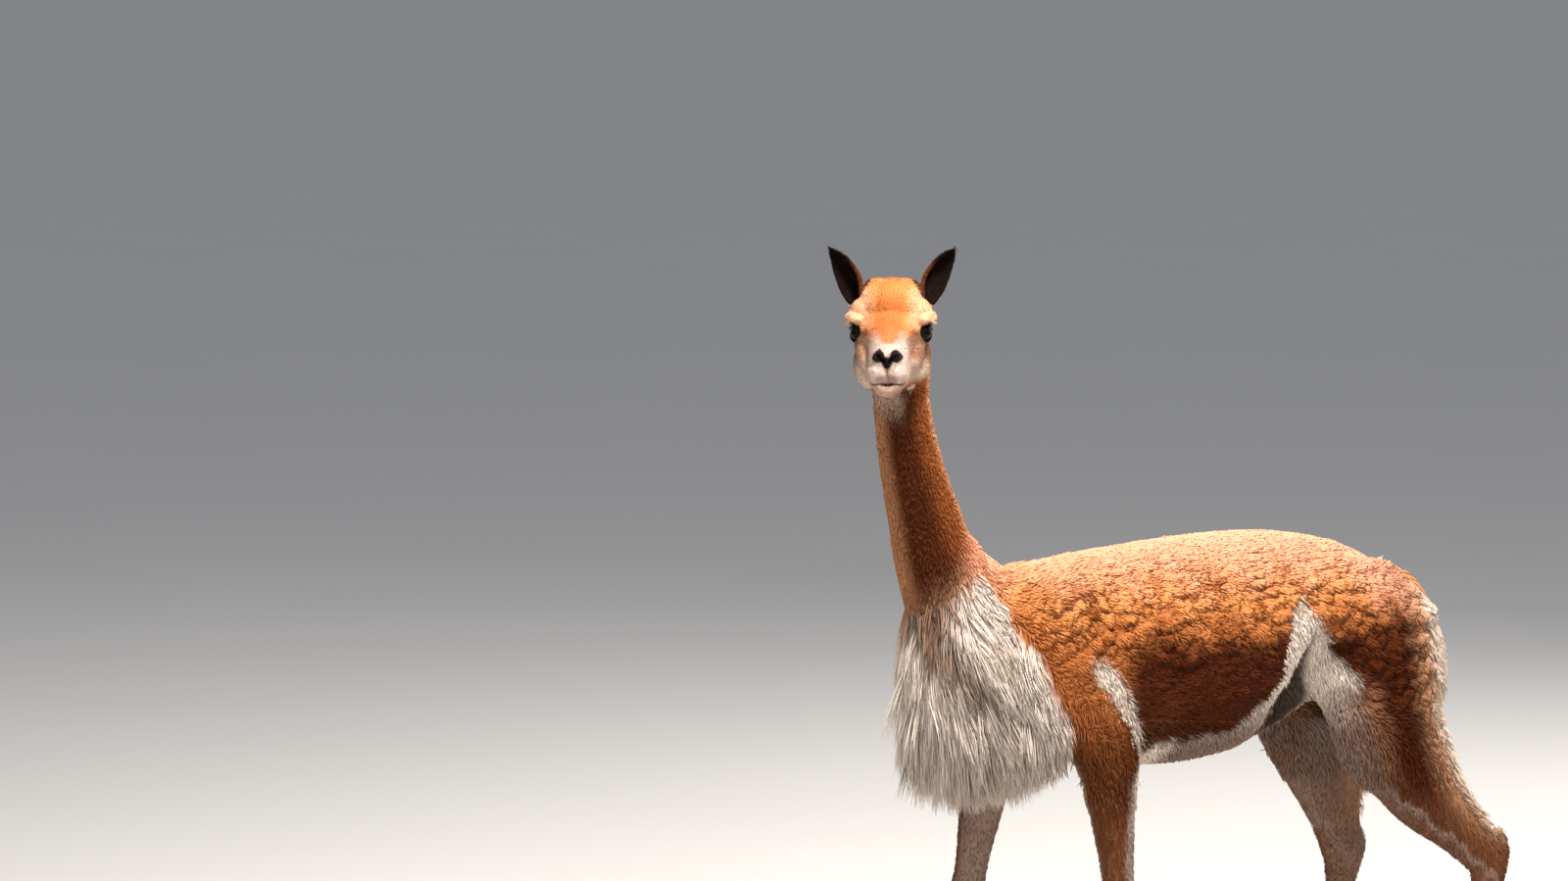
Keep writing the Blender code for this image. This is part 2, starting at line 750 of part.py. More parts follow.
def clump(place, normal, lie, rng):
    """A rounded clump of wool: a low dome whose crown leans the way the coat lies."""
    size = rng.uniform(0.86, 1.14)
    along = lie * CLUMP_LENGTH / 2 * size
    across = normal.cross(lie) * CLUMP_WIDTH / 2 * size
    rise = CLUMP_RISE * rng.uniform(0.85, 1.05)
    shift = along * 0.22
    spin = rng.uniform(0, math.tau)
    bm = bmesh.new()
    rings = []
    for radius, height, lean in ((1.0, -0.10, 0.0), (0.66, 0.78, 0.6)):
        ring = []
        for k in range(CLUMP_SIDES):
            angle = spin + math.tau * k / CLUMP_SIDES
            wobble = radius * rng.uniform(0.92, 1.08)
            offset = along * math.cos(angle) * wobble + across * math.sin(angle) * wobble
            ring.append(bm.verts.new(place + offset + normal * rise * height + shift * lean))
        rings.append(ring)
    crown = bm.verts.new(place + normal * rise * 1.02 + shift)
    root = bm.verts.new(place - normal * rise * 0.60)
    for first, second in zip(rings, rings[1:]):
        for k in range(CLUMP_SIDES):
            j = (k + 1) % CLUMP_SIDES
            bm.faces.new((first[k], first[j], second[j], second[k]))
    for k in range(CLUMP_SIDES):
        j = (k + 1) % CLUMP_SIDES
        bm.faces.new((rings[-1][k], rings[-1][j], crown))
        bm.faces.new((rings[0][j], rings[0][k], root))
    bmesh.ops.triangulate(bm, faces=bm.faces)
    return object_from("clump", bm)


def lock(place, tree, length, width, rng):
    """A flat tapered lock that grows out of the surface, lies down along it and lifts at its tip."""
    steps = 4
    points = []
    spot, normal, _, _ = tree.find_nearest(place)
    fall = Vector((rng.uniform(-0.14, 0.14), 0.12, -1))
    for i in range(steps + 1):
        height = LOCK_LIFT * math.sin(i / steps * math.pi / 2) - LOCK_ROOT
        points.append((spot + normal * height, normal))
        tangent = (fall - normal * fall.dot(normal)).normalized()
        step = tangent * length / steps
        found, turned, _, _ = tree.find_nearest(spot + step)
        spot = found
        normal = (normal * 0.45 + turned * 0.55).normalized()
    rings = []
    for i, (spot, normal) in enumerate(points[:-1]):
        along = (points[i + 1][0] - spot).normalized()
        across = along.cross(normal).normalized() * width / 2
        out = across.cross(along).normalized()
        wide = (0.70, 1.0, 0.86, 0.52)[i]
        thick = LOCK_THICKNESS / 2 * (0.9, 1.0, 0.85, 0.55)[i]
        ring = [spot + across * wide, spot + out * thick, spot - across * wide, spot - out * thick]
        rings.append(ring)
    bm = bmesh.new()
    made = [[bm.verts.new(point) for point in ring] for ring in rings]
    tip = bm.verts.new(points[-1][0])
    for first, second in zip(made, made[1:]):
        for k in range(4):
            j = (k + 1) % 4
            bm.faces.new((first[k], first[j], second[j], second[k]))
    for k in range(4):
        bm.faces.new((made[-1][k], made[-1][(k + 1) % 4], tip))
    bm.faces.new(made[0])
    bmesh.ops.triangulate(bm, faces=bm.faces)
    return object_from("lock", bm)


# Bib. Each tier of locks: height on the chest, how far round it reaches in degrees, number of locks
BIB_TIERS = (
    (0.545, 52, 7),
    (0.600, 62, 8),
    (0.655, 68, 8),
    (0.710, 68, 7),
    (0.760, 72, 6),
    (0.800, 80, 5),
)
BIB_AXIS = Vector((0, -0.30, 0))


def bib_locks(tree, rng):
    locks = []
    for height, reach, count in BIB_TIERS:
        for k in range(count):
            turn = math.radians(reach) * (2 * (k + rng.uniform(0.3, 0.7)) / count - 1)
            aim = Vector((math.sin(turn), -math.cos(turn), 0))
            start = BIB_AXIS + aim * 0.5 + Vector((0, 0, height + rng.uniform(-0.010, 0.010)))
            place, _, _, _ = tree.ray_cast(start, -aim)
            if place is None:
                continue
            length = BIB_LOCK_LENGTH * rng.uniform(0.88, 1.10)
            width = BIB_LOCK_WIDTH * rng.uniform(0.88, 1.12)
            locks.append(lock(place, tree, length, width, rng))
    return locks


# Fringe behind each thigh: the heights where its locks start
FRINGE_HEIGHTS = (0.690, 0.635, 0.580, 0.525)


def fringe_locks(tree, rng):
    locks = []
    for side in SIDES.values():
        for height in FRINGE_HEIGHTS:
            start = Vector((side * rng.uniform(0.085, 0.105), 0.6, height))
            place, _, _, _ = tree.ray_cast(start, Vector((0, -1, 0)))
            if place is not None:
                locks.append(lock(place, tree, FRINGE_LOCK_LENGTH, FRINGE_LOCK_WIDTH, rng))
    return locks


TAIL_TIERS = (0.665, 0.615)
TAIL_LOCKS = 5
TAIL_ROWS = (
    (0, 0.335, 0.760, 0.021, 0.020),
    (0, 0.376, 0.736, 0.024, 0.022),
    (0, 0.404, 0.695, 0.024, 0.021),
    (0, 0.415, 0.640, 0.021, 0.018),
    (0, 0.419, 0.590, 0.016, 0.014),
    (0, 0.420, 0.560, 0.009, 0.008),
)


def tail(host, rng):
    """The tail hangs from the rump, with its long hair in overlapping locks."""
    core = coarser(fused("tail", [tube("core", TAIL_ROWS)], 0.004, 2), 150)
    tree = tree_of(core)
    locks = []
    for height in TAIL_TIERS:
        for k in range(TAIL_LOCKS):
            turn = math.tau * (k + rng.uniform(0.35, 0.65)) / TAIL_LOCKS
            place = Vector((math.sin(turn) * 0.03, 0.41 + math.cos(turn) * 0.03, height))
            locks.append(lock(place, tree, TAIL_LOCK_LENGTH, TAIL_LOCK_WIDTH, rng))
    core = coarser(combine(core, locks, "UNION"), TAIL_TRIANGLES)
    core = combine(core, [copy_of(host, "rump")], "DIFFERENCE")
    return largest(meet(core, host))


def nail(name, side, toe, fetlock_y, host):
    """The curved nail at the front of a toe."""
    x = side * LEG_SPREAD + toe * TOE_SPREAD
    y = fetlock_y - TOE_REACH - TOE_RADII[1]
    stations = ((x, y + 0.022, 0.0200, 0.0070, 0.0075), (x, y + 0.006, 0.0170, 0.0072, 0.0085),
                (x, y - 0.006, 0.0115, 0.0056, 0.0066), (x, y - 0.013, 0.0060, 0.0022, 0.0030))
    return meet(tube(name, stations, 1, 7), host)


def finish_nodes(nodes):
    """Gives each node its material and moves the whole so that the origin is under its middle."""
    corners = np.array([vert.co for obj, _ in nodes for vert in obj.data.vertices])
    middle = (corners.min(axis=0) + corners.max(axis=0)) / 2
    shift = Matrix.Translation((-middle[0], -middle[1], 0))
    for obj, finish in nodes:
        obj.data.transform(shift)
        obj.data.materials.clear()
        obj.data.materials.append(material_of(finish))
        obj.data.shade_smooth()


def legs(nodes):
    """The four legs, each in a shank, a cannon and a foot with its nails."""
    for pair, all_joints, rows, bend in (("fore", FORE_JOINTS, FORE_ROWS, "knee"),
                                         ("hind", HIND_JOINTS, HIND_ROWS, "hock")):
        for where, side in SIDES.items():
            joints = all_joints[where]
            shank = "forearm" if pair == "fore" else "gaskin"
            name = f"{pair}leg_{where}"
            foot = lower_leg(f"{name}_foot", side, joints, rows, pair == "hind")
            towards = Vector((0, 0, 1))
            cannon = part_at(foot, f"{name}_cannon", (Vector((0, 0, joints["fetlock"][1] + 0.016)), towards))
            bend_cut = (Vector((0, joints[bend][0], joints[bend][1] - 0.040)), towards)
            upper = part_at(cannon, f"{name}_{shank}", bend_cut)
            upper = largest(cut(upper, Vector((0, 0, LEG_CUT - GAP / 2)), towards))
            largest(foot)
            largest(cannon)
            nodes += [(foot, "short_coat"), (cannon, "short_coat"), (upper, "short_coat")]
            for toe, place in ((-side, "inner"), (side, "outer")):
                made = nail(f"nail_{pair}_{where}_{place}", side, toe, joints["fetlock"][0], foot)
                nodes.append((made, "nail"))


def trunk_nodes(nodes, rng):
    """Neck, forequarters, barrel and hindquarters, cut from one skin, and the tail."""
    body = outline_body()
    body = push_in(body, lambda place: 0.5 * WOOL_DEPTH * wool_share(place))
    body = coarser(body, BODY_TRIANGLES)
    body = largest(cut(body, Vector((0, 0, LEG_CUT + GAP / 2)), Vector((0, 0, -1))))
    body.name = "barrel"
    smooth_tree = tree_of(body)
    clumps = []
    for place, normal in spread_evenly(body, CLUMPS, wool_share, rng):
        clumps.append(clump(place, normal, lie_at(place, normal), rng))
    neck_lower = part_at(body, "neck_lower", NECK_CUT)
    neck_upper = part_at(neck_lower, "neck_upper", NECK_MIDDLE)
    point, towards = HEAD_CUT[0], HEAD_CUT[1].normalized()
    neck_upper = largest(cut(neck_upper, point - towards * GAP / 2, towards))
    locks = bib_locks(smooth_tree, rng) + fringe_locks(smooth_tree, rng)
    body = combine(largest(body), clumps + locks, "UNION", "MANIFOLD")
    body = coarser(body, WOOLLY_BODY_TRIANGLES)
    point, towards = NECK_CUT[0], NECK_CUT[1].normalized()
    body = largest(cut(body, point - towards * GAP / 2, towards))
    front = part_at(body, "forequarters", (Vector((0, SHOULDER_CUT, 0)), Vector((0, -1, 0))))
    bib = part_at(front, "bib", BIB_CUT)
    rear = part_at(body, "hindquarters", (Vector((0, LOIN_CUT, 0)), Vector((0, 1, 0))))
    tail_node = tail(largest(rear), rng)
    largest(body)
    largest(front)
    nodes += [(neck_lower, "short_coat"), (neck_upper, "short_coat"), (bib, "pale_wool"), (front, "fleece"),
              (body, "fleece"), (rear, "fleece"), (tail_node, "fleece")]


def main():
    clear_scene()
    rng = random.Random(SEED)
    nodes = []
    head_node = head()
    nodes.append((head_node, "face"))
    for where, side in SIDES.items():
        nodes.append((ear(f"ear_{where}", side, head_node), "ear"))
        nodes.append((eye(f"eye_{where}", side), "eye"))
    trunk_nodes(nodes, rng)
    legs(nodes)
    finish_nodes(nodes)


main()
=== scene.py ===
"""A vicuna at life size, standing still in mid pace with its head turned to its left.

+Z is up, the animal faces -Y and its left side is +X. Sizes are metres. The shapes are laid out in the
animal's own frame, and each finished mesh is then moved by PLACE, onto the solids.
"""

import math

import bmesh
import bpy
import numpy as np
from mathutils import Matrix, Vector
from mathutils.bvhtree import BVHTree
from mathutils.kdtree import KDTree


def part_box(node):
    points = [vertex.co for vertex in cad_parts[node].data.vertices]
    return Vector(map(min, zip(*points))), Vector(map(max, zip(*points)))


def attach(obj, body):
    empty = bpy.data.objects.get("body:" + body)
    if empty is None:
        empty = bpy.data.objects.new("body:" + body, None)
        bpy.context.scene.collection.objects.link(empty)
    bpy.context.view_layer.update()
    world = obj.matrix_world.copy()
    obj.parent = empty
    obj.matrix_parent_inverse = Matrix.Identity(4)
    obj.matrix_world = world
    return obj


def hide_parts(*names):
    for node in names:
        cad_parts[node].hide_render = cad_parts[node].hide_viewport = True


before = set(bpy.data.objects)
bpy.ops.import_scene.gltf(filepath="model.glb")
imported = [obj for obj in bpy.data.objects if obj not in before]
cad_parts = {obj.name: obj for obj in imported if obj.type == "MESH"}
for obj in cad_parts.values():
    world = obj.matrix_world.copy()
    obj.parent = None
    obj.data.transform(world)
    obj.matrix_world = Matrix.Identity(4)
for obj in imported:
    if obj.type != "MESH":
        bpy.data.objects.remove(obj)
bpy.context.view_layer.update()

# ---------------------------------------------------------------------------------------------
# The trunk: chest, barrel and rump under the wool, one skin with the neck and the tops of the legs.
# In life it is hide stretched over muscle and ribs. It lies inside the solids by the wool's depth.
SIDES = {"left": 1, "right": -1}
BACK = 0.832
BELLY = 0.462
HALF_WIDTH = 0.168
WIDEST = 0.47  # how far up from belly to back the trunk is widest
TRUNK_ROUNDNESS = 2.25
# Each row: its place along Y, how far it lies under BACK and over BELLY, and its share of HALF_WIDTH
TRUNK_ROWS = (
    (-0.425, 0.15, 0.12, 0.4),
    (-0.385, 0.085, 0.066, 0.64),
    (-0.31, 0.046, 0.028, 0.84),
    (-0.19, 0.025, 0.008, 0.94),
    (-0.04, 0.009, 0.003, 1.0),
    (0.09, 0.002, 0.03, 1.0),
    (0.19, 0.01, 0.076, 0.96),
    (0.275, 0.034, 0.096, 0.9),
    (0.338, 0.078, 0.105, 0.78),
    (0.378, 0.148, 0.12, 0.55),
)
# The hollow between the fold of each flank and the thigh. Each row: height, then its front and rear along Y
HOLLOW_ROWS = (
    (0.44, 0.06, 0.23),
    (0.508, 0.058, 0.212),
    (0.559, 0.078, 0.188),
    (0.605, 0.104, 0.166),
    (0.652, 0.124, 0.154),
    (0.685, 0.13, 0.144),
)
HOLLOW_SHARE = 0.38
HOLLOW_TOP = (0.6, 0.7)


def object_from(name, bm):
    """A new object with the bmesh as its mesh, and every face turned outwards."""
    bmesh.ops.recalc_face_normals(bm, faces=bm.faces)
    mesh = bpy.data.meshes.new(name)
    bm.to_mesh(mesh)
    bm.free()
    obj = bpy.data.objects.new(name, mesh)
    bpy.context.scene.collection.objects.link(obj)
    return obj


def applied(obj):
    """The object with its modifiers made part of its mesh."""
    bpy.context.view_layer.update()
    graph = bpy.context.evaluated_depsgraph_get()
    mesh = bpy.data.meshes.new_from_object(obj.evaluated_get(graph))
    obj.modifiers.clear()
    obj.data = mesh
    return obj


def smooth_rows(rows, steps):
    """Rows of numbers read along a Catmull-Rom curve through the given rows."""
    rows = np.array(rows, float)
    padded = np.vstack([2 * rows[0] - rows[1], rows, 2 * rows[-1] - rows[-2]])
    found = []
    for i in range(len(rows) - 1):
        a, b, c, d = padded[i : i + 4]
        for t in np.arange(steps) / steps:
            bend = (2 * a - 5 * b + 4 * c - d) * t**2 + (3 * b - a - 3 * c + d) * t**3
            found.append(0.5 * (2 * b + (c - a) * t + bend))
    found.append(rows[-1])
    return np.array(found)


def skin_over(name, rings):
    """A closed mesh over rings of equal counts, with both ends capped."""
    bm = bmesh.new()
    made = [[bm.verts.new(point) for point in ring] for ring in rings]
    for first, second in zip(made, made[1:]):
        for k in range(len(first)):
            j = (k + 1) % len(first)
            bm.faces.new((first[k], first[j], second[j], second[k]))
    bm.faces.new(made[0])
    bm.faces.new(made[-1])
    return object_from(name, bm)


def power(value, exponent):
    """A power that keeps the sign."""
    return math.copysign(abs(value) ** exponent, value)


def round_angles(count):
    return [math.tau * k / count for k in range(count)]


def oval(half_width, top, middle, bottom, roundness, count):
    """Places (x, z) round an oval that is a little squarer than an ellipse, and widest at middle."""
    places = []
    for angle in round_angles(count):
        reach = top - middle if math.sin(angle) > 0 else middle - bottom
        x = half_width * power(math.cos(angle), 2 / roundness)
        places.append((x, middle + reach * power(math.sin(angle), 2 / roundness)))
    return places


def tube(name, stations, steps=4, count=24):
    """A closed tube through stations (x, y, z, half width, half depth)."""
    rows = smooth_rows(stations, steps)
    tangents = np.gradient(rows[:, :3], axis=0)
    rings = []
    for (x, y, z, half_width, half_depth), tangent in zip(rows, tangents):
        along = Vector(tangent).normalized()
        side = (Vector((1, 0, 0)) - along * along.x).normalized()
        deep = along.cross(side)
        rings.append([Vector((x, y, z)) + side * half_width * math.cos(a) + deep * half_depth * math.sin(a)
                      for a in round_angles(count)])
    return skin_over(name, rings)


def ball(name, place, radii, turn=0.0, segments=24):
    """An ellipsoid, turned about X."""
    bm = bmesh.new()
    shape = Matrix.Translation(place) @ Matrix.Rotation(turn, 4, "X") @ Matrix.Diagonal((*radii, 1))
    bmesh.ops.create_uvsphere(bm, u_segments=segments, v_segments=segments // 2, radius=1, matrix=shape)
    return object_from(name, bm)


def fused(name, pieces, voxel, rounds):
    """One closed skin over overlapping pieces, with the joins between them rounded off."""
    bm = bmesh.new()
    for piece in pieces:
        bm.from_mesh(piece.data)
        bpy.data.objects.remove(piece)
    obj = object_from(name, bm)
    remesh = obj.modifiers.new("Skin", "REMESH")
    remesh.mode = "VOXEL"
    remesh.voxel_size = voxel
    soften = obj.modifiers.new("Soften", "SMOOTH")
    soften.factor = 0.5
    soften.iterations = rounds
    return applied(obj)


def ease(low, high, value):
    """0 below low and 1 above high, with a smooth rise between. It takes numbers and arrays."""
    t = np.clip((value - low) / (high - low), 0, 1)
    return t * t * (3 - 2 * t)


def fade(low, high, value):
    """1 below low and 0 above high."""
    return 1 - ease(low, high, value)


def edges_at(rows, z):
    """The front and the rear at a height, from rows of a height, a front and a rear."""
    heights, fronts, rears = zip(*rows)
    return np.interp(z, heights, fronts), np.interp(z, heights, rears)


def hollow(y, z):
    """How much narrower the trunk is at a place in the hollow, as a share of its width."""
    front, rear = edges_at(HOLLOW_ROWS, z)
    across = ease(front - 0.014, front + 0.026, y) * fade(rear, rear + 0.05, y)
    return HOLLOW_SHARE * across * fade(*HOLLOW_TOP, z)


def trunk():
    rings = []
    for y, drop, rise, share in smooth_rows(TRUNK_ROWS, 5):
        top, bottom = BACK - drop, BELLY + rise
        middle = bottom + WIDEST * (top - bottom)
        ring = oval(HALF_WIDTH * share, top, middle, bottom, TRUNK_ROUNDNESS, 48)
        rings.append([Vector((x * (1 - hollow(y, z)), y, z)) for x, z in ring])
    return skin_over("trunk", rings)


def body_masses():
    """The breast under the bib, the shoulders and the haunches."""
    pieces = [ball("breast", (0, -0.402, 0.625), (0.116, 0.102, 0.15))]
    for side in SIDES.values():
        pieces += [
            ball("shoulder", (side * 0.09, -0.275, 0.64), (0.068, 0.098, 0.15), -0.25),
            ball("haunch", (side * 0.088, 0.27, 0.64), (0.078, 0.122, 0.15), 0.15),
            ball("buttock", (side * 0.066, 0.338, 0.59), (0.066, 0.08, 0.125)),
        ]
    return pieces


# ---------------------------------------------------------------------------------------------
# The neck, long and slender, a column of muscle over the windpipe and spine, which widens into the chest.
# Its hide runs on into the head's and the trunk's without a break.
# Each row: its place along Y and Z, its half width and half depth
NECK_ROWS = (
    (-0.345, 0.63, 0.1, 0.135),
    (-0.405, 0.725, 0.08, 0.1),
    (-0.454, 0.805, 0.059, 0.07),
    (-0.471, 0.86, 0.0525, 0.062),
    (-0.486, 0.91, 0.05, 0.0565),
    (-0.501, 0.97, 0.0465, 0.0515),
    (-0.5135, 1.03, 0.0445, 0.048),
    (-0.519, 1.08, 0.044, 0.0465),
    (-0.516, 1.12, 0.042, 0.044),
    (-0.516, 1.146, 0.033, 0.035),
    (-0.516, 1.162, 0.016, 0.018),
)
NECK_LEAN = 0.012  # how far its top leans to the animal's left
# The planes where the head and the trunk begin: a point, and the way up the neck
NECK_TOP = (np.array((0, -0.522, 1.062)), np.array((0.1, -0.1, 0.99)))
NECK_FOOT = (np.array((0, -0.452, 0.838)), np.array((0, -0.4, 0.916)))


def neck():
    stations = [(NECK_LEAN * ease(0.95, 1.12, z), y, z, *size) for y, z, *size in NECK_ROWS]
    return tube("neck", stations, 5, 40)


# ---------------------------------------------------------------------------------------------
# The legs: slender, with long cannons and two toes on soft pads. The left legs are back and the right
# ones forward, as in a pace. Hide over bone and sinew, with short hair.
LEG_SPREAD = 0.098
# Where each joint is, along Y and Z
FORE_JOINTS = {
    "left": {"shoulder": (-0.285, 0.64), "elbow": (-0.205, 0.505), "knee": (-0.182, 0.272),
             "fetlock": (-0.152, 0.076)},
    "right": {"shoulder": (-0.29, 0.64), "elbow": (-0.3, 0.505), "knee": (-0.343, 0.272),
              "fetlock": (-0.345, 0.076)},
}
HIND_JOINTS = {
    "left": {"hip": (0.275, 0.69), "thigh": (0.304, 0.505), "shank": (0.377, 0.398),
             "hock": (0.486, 0.292), "fetlock": (0.508, 0.076)},
    "right": {"hip": (0.275, 0.69), "thigh": (0.272, 0.52), "shank": (0.31, 0.4),
              "hock": (0.338, 0.29), "fetlock": (0.33, 0.076)},
}
# Each row: two joints, the share of the way from one to the other, the half width and the half depth there
FORE_ROWS = (
    ("shoulder", "elbow", 0.0, 0.06, 0.09),
    ("shoulder", "elbow", 0.75, 0.05, 0.066),
    ("elbow", "knee", 0.1, 0.043, 0.054),
    ("elbow", "knee", 0.32, 0.035, 0.042),
    ("elbow", "knee", 0.65, 0.027, 0.031),
    ("elbow", "knee", 0.88, 0.0245, 0.0265),
    ("elbow", "knee", 1.0, 0.0265, 0.029),
    ("knee", "fetlock", 0.15, 0.0235, 0.026),
    ("knee", "fetlock", 0.35, 0.018, 0.02),
    ("knee", "fetlock", 0.7, 0.0175, 0.0195),
    ("knee", "fetlock", 0.88, 0.02, 0.0225),
    ("knee", "fetlock", 1.0, 0.0225, 0.0255),
)
HIND_ROWS = (
    ("hip", "thigh", 0.0, 0.062, 0.112),
    ("hip", "thigh", 0.6, 0.062, 0.108),
    ("thigh", "shank", 0.0, 0.056, 0.098),
    ("thigh", "shank", 0.5, 0.048, 0.081),
    ("thigh", "shank", 1.0, 0.04, 0.063),
    ("shank", "hock", 0.55, 0.03, 0.043),
    ("shank", "hock", 1.0, 0.0275, 0.037),
    ("hock", "fetlock", 0.16, 0.0245, 0.029),
    ("hock", "fetlock", 0.4, 0.019, 0.0215),
    ("hock", "fetlock", 0.72, 0.018, 0.0205),
    ("hock", "fetlock", 0.88, 0.0205, 0.0235),
    ("hock", "fetlock", 1.0, 0.023, 0.0265),
)
TOE_SPREAD = 0.014
TOE_RADII = (0.0138, 0.036, 0.0215)
TOE_HEIGHT = 0.0165
TOE_REACH = 0.026
# A leg is made in two parts, with a lap across the height of the cut, and its foot ends in a flat sole
LEG_CUT = 0.452
UPPER_LAP = 0.006
LOWER_LAP = 0.008
SOLE = 0.0004
LEG_VOXEL = 0.0032
DOWN, UP = Vector((0, 0, -1)), Vector((0, 0, 1))


def leg_stations(side, joints, rows):
    stations = []
    for first, second, share, half_width, half_depth in rows:
        (y0, z0), (y1, z1) = joints[first], joints[second]
        place = (side * LEG_SPREAD, y0 + share * (y1 - y0), z0 + share * (z1 - z0))
        stations.append((*place, half_width, half_depth))
    return stations


def foot_pieces(side, y):
    """The pastern and the two toes, which stand on their pads."""
    x = side * LEG_SPREAD
    pastern = ((x, y, 0.08, 0.022, 0.025), (x, y - 0.005, 0.055, 0.0205, 0.0215),
               (x, y - 0.014, 0.034, 0.02, 0.02), (x, y - 0.02, 0.022, 0.018, 0.019))
    pieces = [tube("pastern", pastern, 3, 20)]
    for toe in (-1, 1):
        place = (x + toe * TOE_SPREAD, y - TOE_REACH, TOE_HEIGHT)
        pieces.append(ball("toe", place, TOE_RADII, 0.06, 20))
    return pieces


def hock_point(side, joints):
    """The heel bone, which stands out behind the hock."""
    y, z = joints["hock"]
    x = side * LEG_SPREAD
    stations = ((x, y + 0.004, z - 0.05, 0.016, 0.018), (x, y + 0.02, z - 0.012, 0.0165, 0.0185),
                (x, y + 0.026, z + 0.016, 0.0155, 0.0165), (x, y + 0.016, z + 0.046, 0.012, 0.012))
    return tube("hock_point", stations, 3, 14)


def upper_legs():
    pieces = []
    for where, side in SIDES.items():
        pieces.append(tube("upper", leg_stations(side, FORE_JOINTS[where], FORE_ROWS[:6])))
        pieces.append(tube("upper", leg_stations(side, HIND_JOINTS[where], HIND_ROWS[:6])))
    return pieces


def cut(obj, point, towards):
    """obj without what lies past the plane on the side that towards points to. The cut is closed."""
    bm = bmesh.new()
    bm.from_mesh(obj.data)
    geometry = [*bm.verts, *bm.edges, *bm.faces]
    bmesh.ops.bisect_plane(bm, geom=geometry, plane_co=point, plane_no=towards, dist=1e-6, clear_outer=True)
    filled = bmesh.ops.holes_fill(bm, edges=[edge for edge in bm.edges if edge.is_boundary], sides=0)
    bmesh.ops.triangulate(bm, faces=filled["faces"])
    bmesh.ops.recalc_face_normals(bm, faces=bm.faces)
    bm.to_mesh(obj.data)
    bm.free()
    return obj


def lower_leg(side, joints, rows, hind):
    pieces = [tube("shaft", leg_stations(side, joints, rows[1:])), *foot_pieces(side, joints["fetlock"][0])]
    if hind:
        pieces.append(hock_point(side, joints))
    leg = cut(fused("leg", pieces, LEG_VOXEL, 4), UP * SOLE, DOWN)
    return cut(leg, UP * (LEG_CUT + LOWER_LAP), UP)


# ---------------------------------------------------------------------------------------------
# The head, in its own frame: the origin midway between the eyes, -Y to the nose, +X to its left.
# Hide over the skull, with brows, lids, cheeks, nostrils, a cleft upper lip and a closed mouth.
EYES_MIDDLE = Vector((0.043, -0.553, 1.152))
HEAD_TURN = math.radians(60)
HEAD_LIFT = math.radians(3)
EYE_RADIUS = 0.018
EYE_PLACE = Vector((0.043, 0.0, 0.0))
EYE_LOOK = Vector((0.8, -0.6, 0.06)).normalized()
LID_THICKNESS = 0.0026
LID_OPENING = (0.0168, 0.0128)  # half its length and half its height
LID_DROOP = 0.1
HEAD_ROUNDNESS = 2.2
HEAD_VOXEL = 0.0019
HEAD_LAP = 0.006
MOUTH_PATH = ((0.033, -0.06, -0.07), (0.03, -0.092, -0.073), (0.02, -0.125, -0.0765),
              (0.0, -0.15, -0.0775), (-0.02, -0.125, -0.0765), (-0.03, -0.092, -0.073),
              (-0.033, -0.06, -0.07))
NOSTRIL_PATH = ((0.0195, -0.126, -0.029), (0.015, -0.14, -0.0332), (0.008, -0.148, -0.0415),
                (0.003, -0.15, -0.05))
# Each row: how far it lies before the eyes, its top, bottom and half width, and where its widest line is
HEAD_ROWS = (
    (-0.104, 0.04, -0.02, 0.026, 0.01),
    (-0.096, 0.06, -0.05, 0.04, 0.005),
    (-0.074, 0.08, -0.078, 0.05, 0.0),
    (-0.045, 0.086, -0.088, 0.054, -0.004),
    (-0.018, 0.074, -0.091, 0.056, -0.01),
    (0.008, 0.056, -0.092, 0.053, -0.018),
    (0.032, 0.034, -0.092, 0.044, -0.034),
    (0.058, 0.012, -0.093, 0.035, -0.044),
    (0.084, -0.008, -0.095, 0.0315, -0.052),
    (0.106, -0.017, -0.098, 0.03, -0.056),
    (0.122, -0.024, -0.096, 0.027, -0.058),
    (0.132, -0.034, -0.088, 0.02, -0.06),
)


def head_frame():
    turn = Matrix.Rotation(HEAD_TURN, 4, "Z") @ Matrix.Rotation(-HEAD_LIFT, 4, "X")
    return Matrix.Translation(EYES_MIDDLE) @ turn


eye_low, eye_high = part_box("eye_left")
PLACE = (eye_low + eye_high) / 2 - head_frame() @ EYE_PLACE
HEAD_AXES = np.array(head_frame().to_3x3())


def in_head(points):
    """Places in the animal's frame, read in the head's own frame."""
    return (points - np.array(EYES_MIDDLE)) @ HEAD_AXES


def mirrored(vector, side):
    return Vector((vector[0] * side, vector[1], vector[2]))


def skull():
    rings = []
    for reach, top, bottom, half_width, middle in smooth_rows(HEAD_ROWS, 4):
        ring = oval(half_width, top, middle, bottom, HEAD_ROUNDNESS, 40)
        rings.append([Vector((x, -reach, z)) for x, z in ring])
    return skin_over("skull", rings)


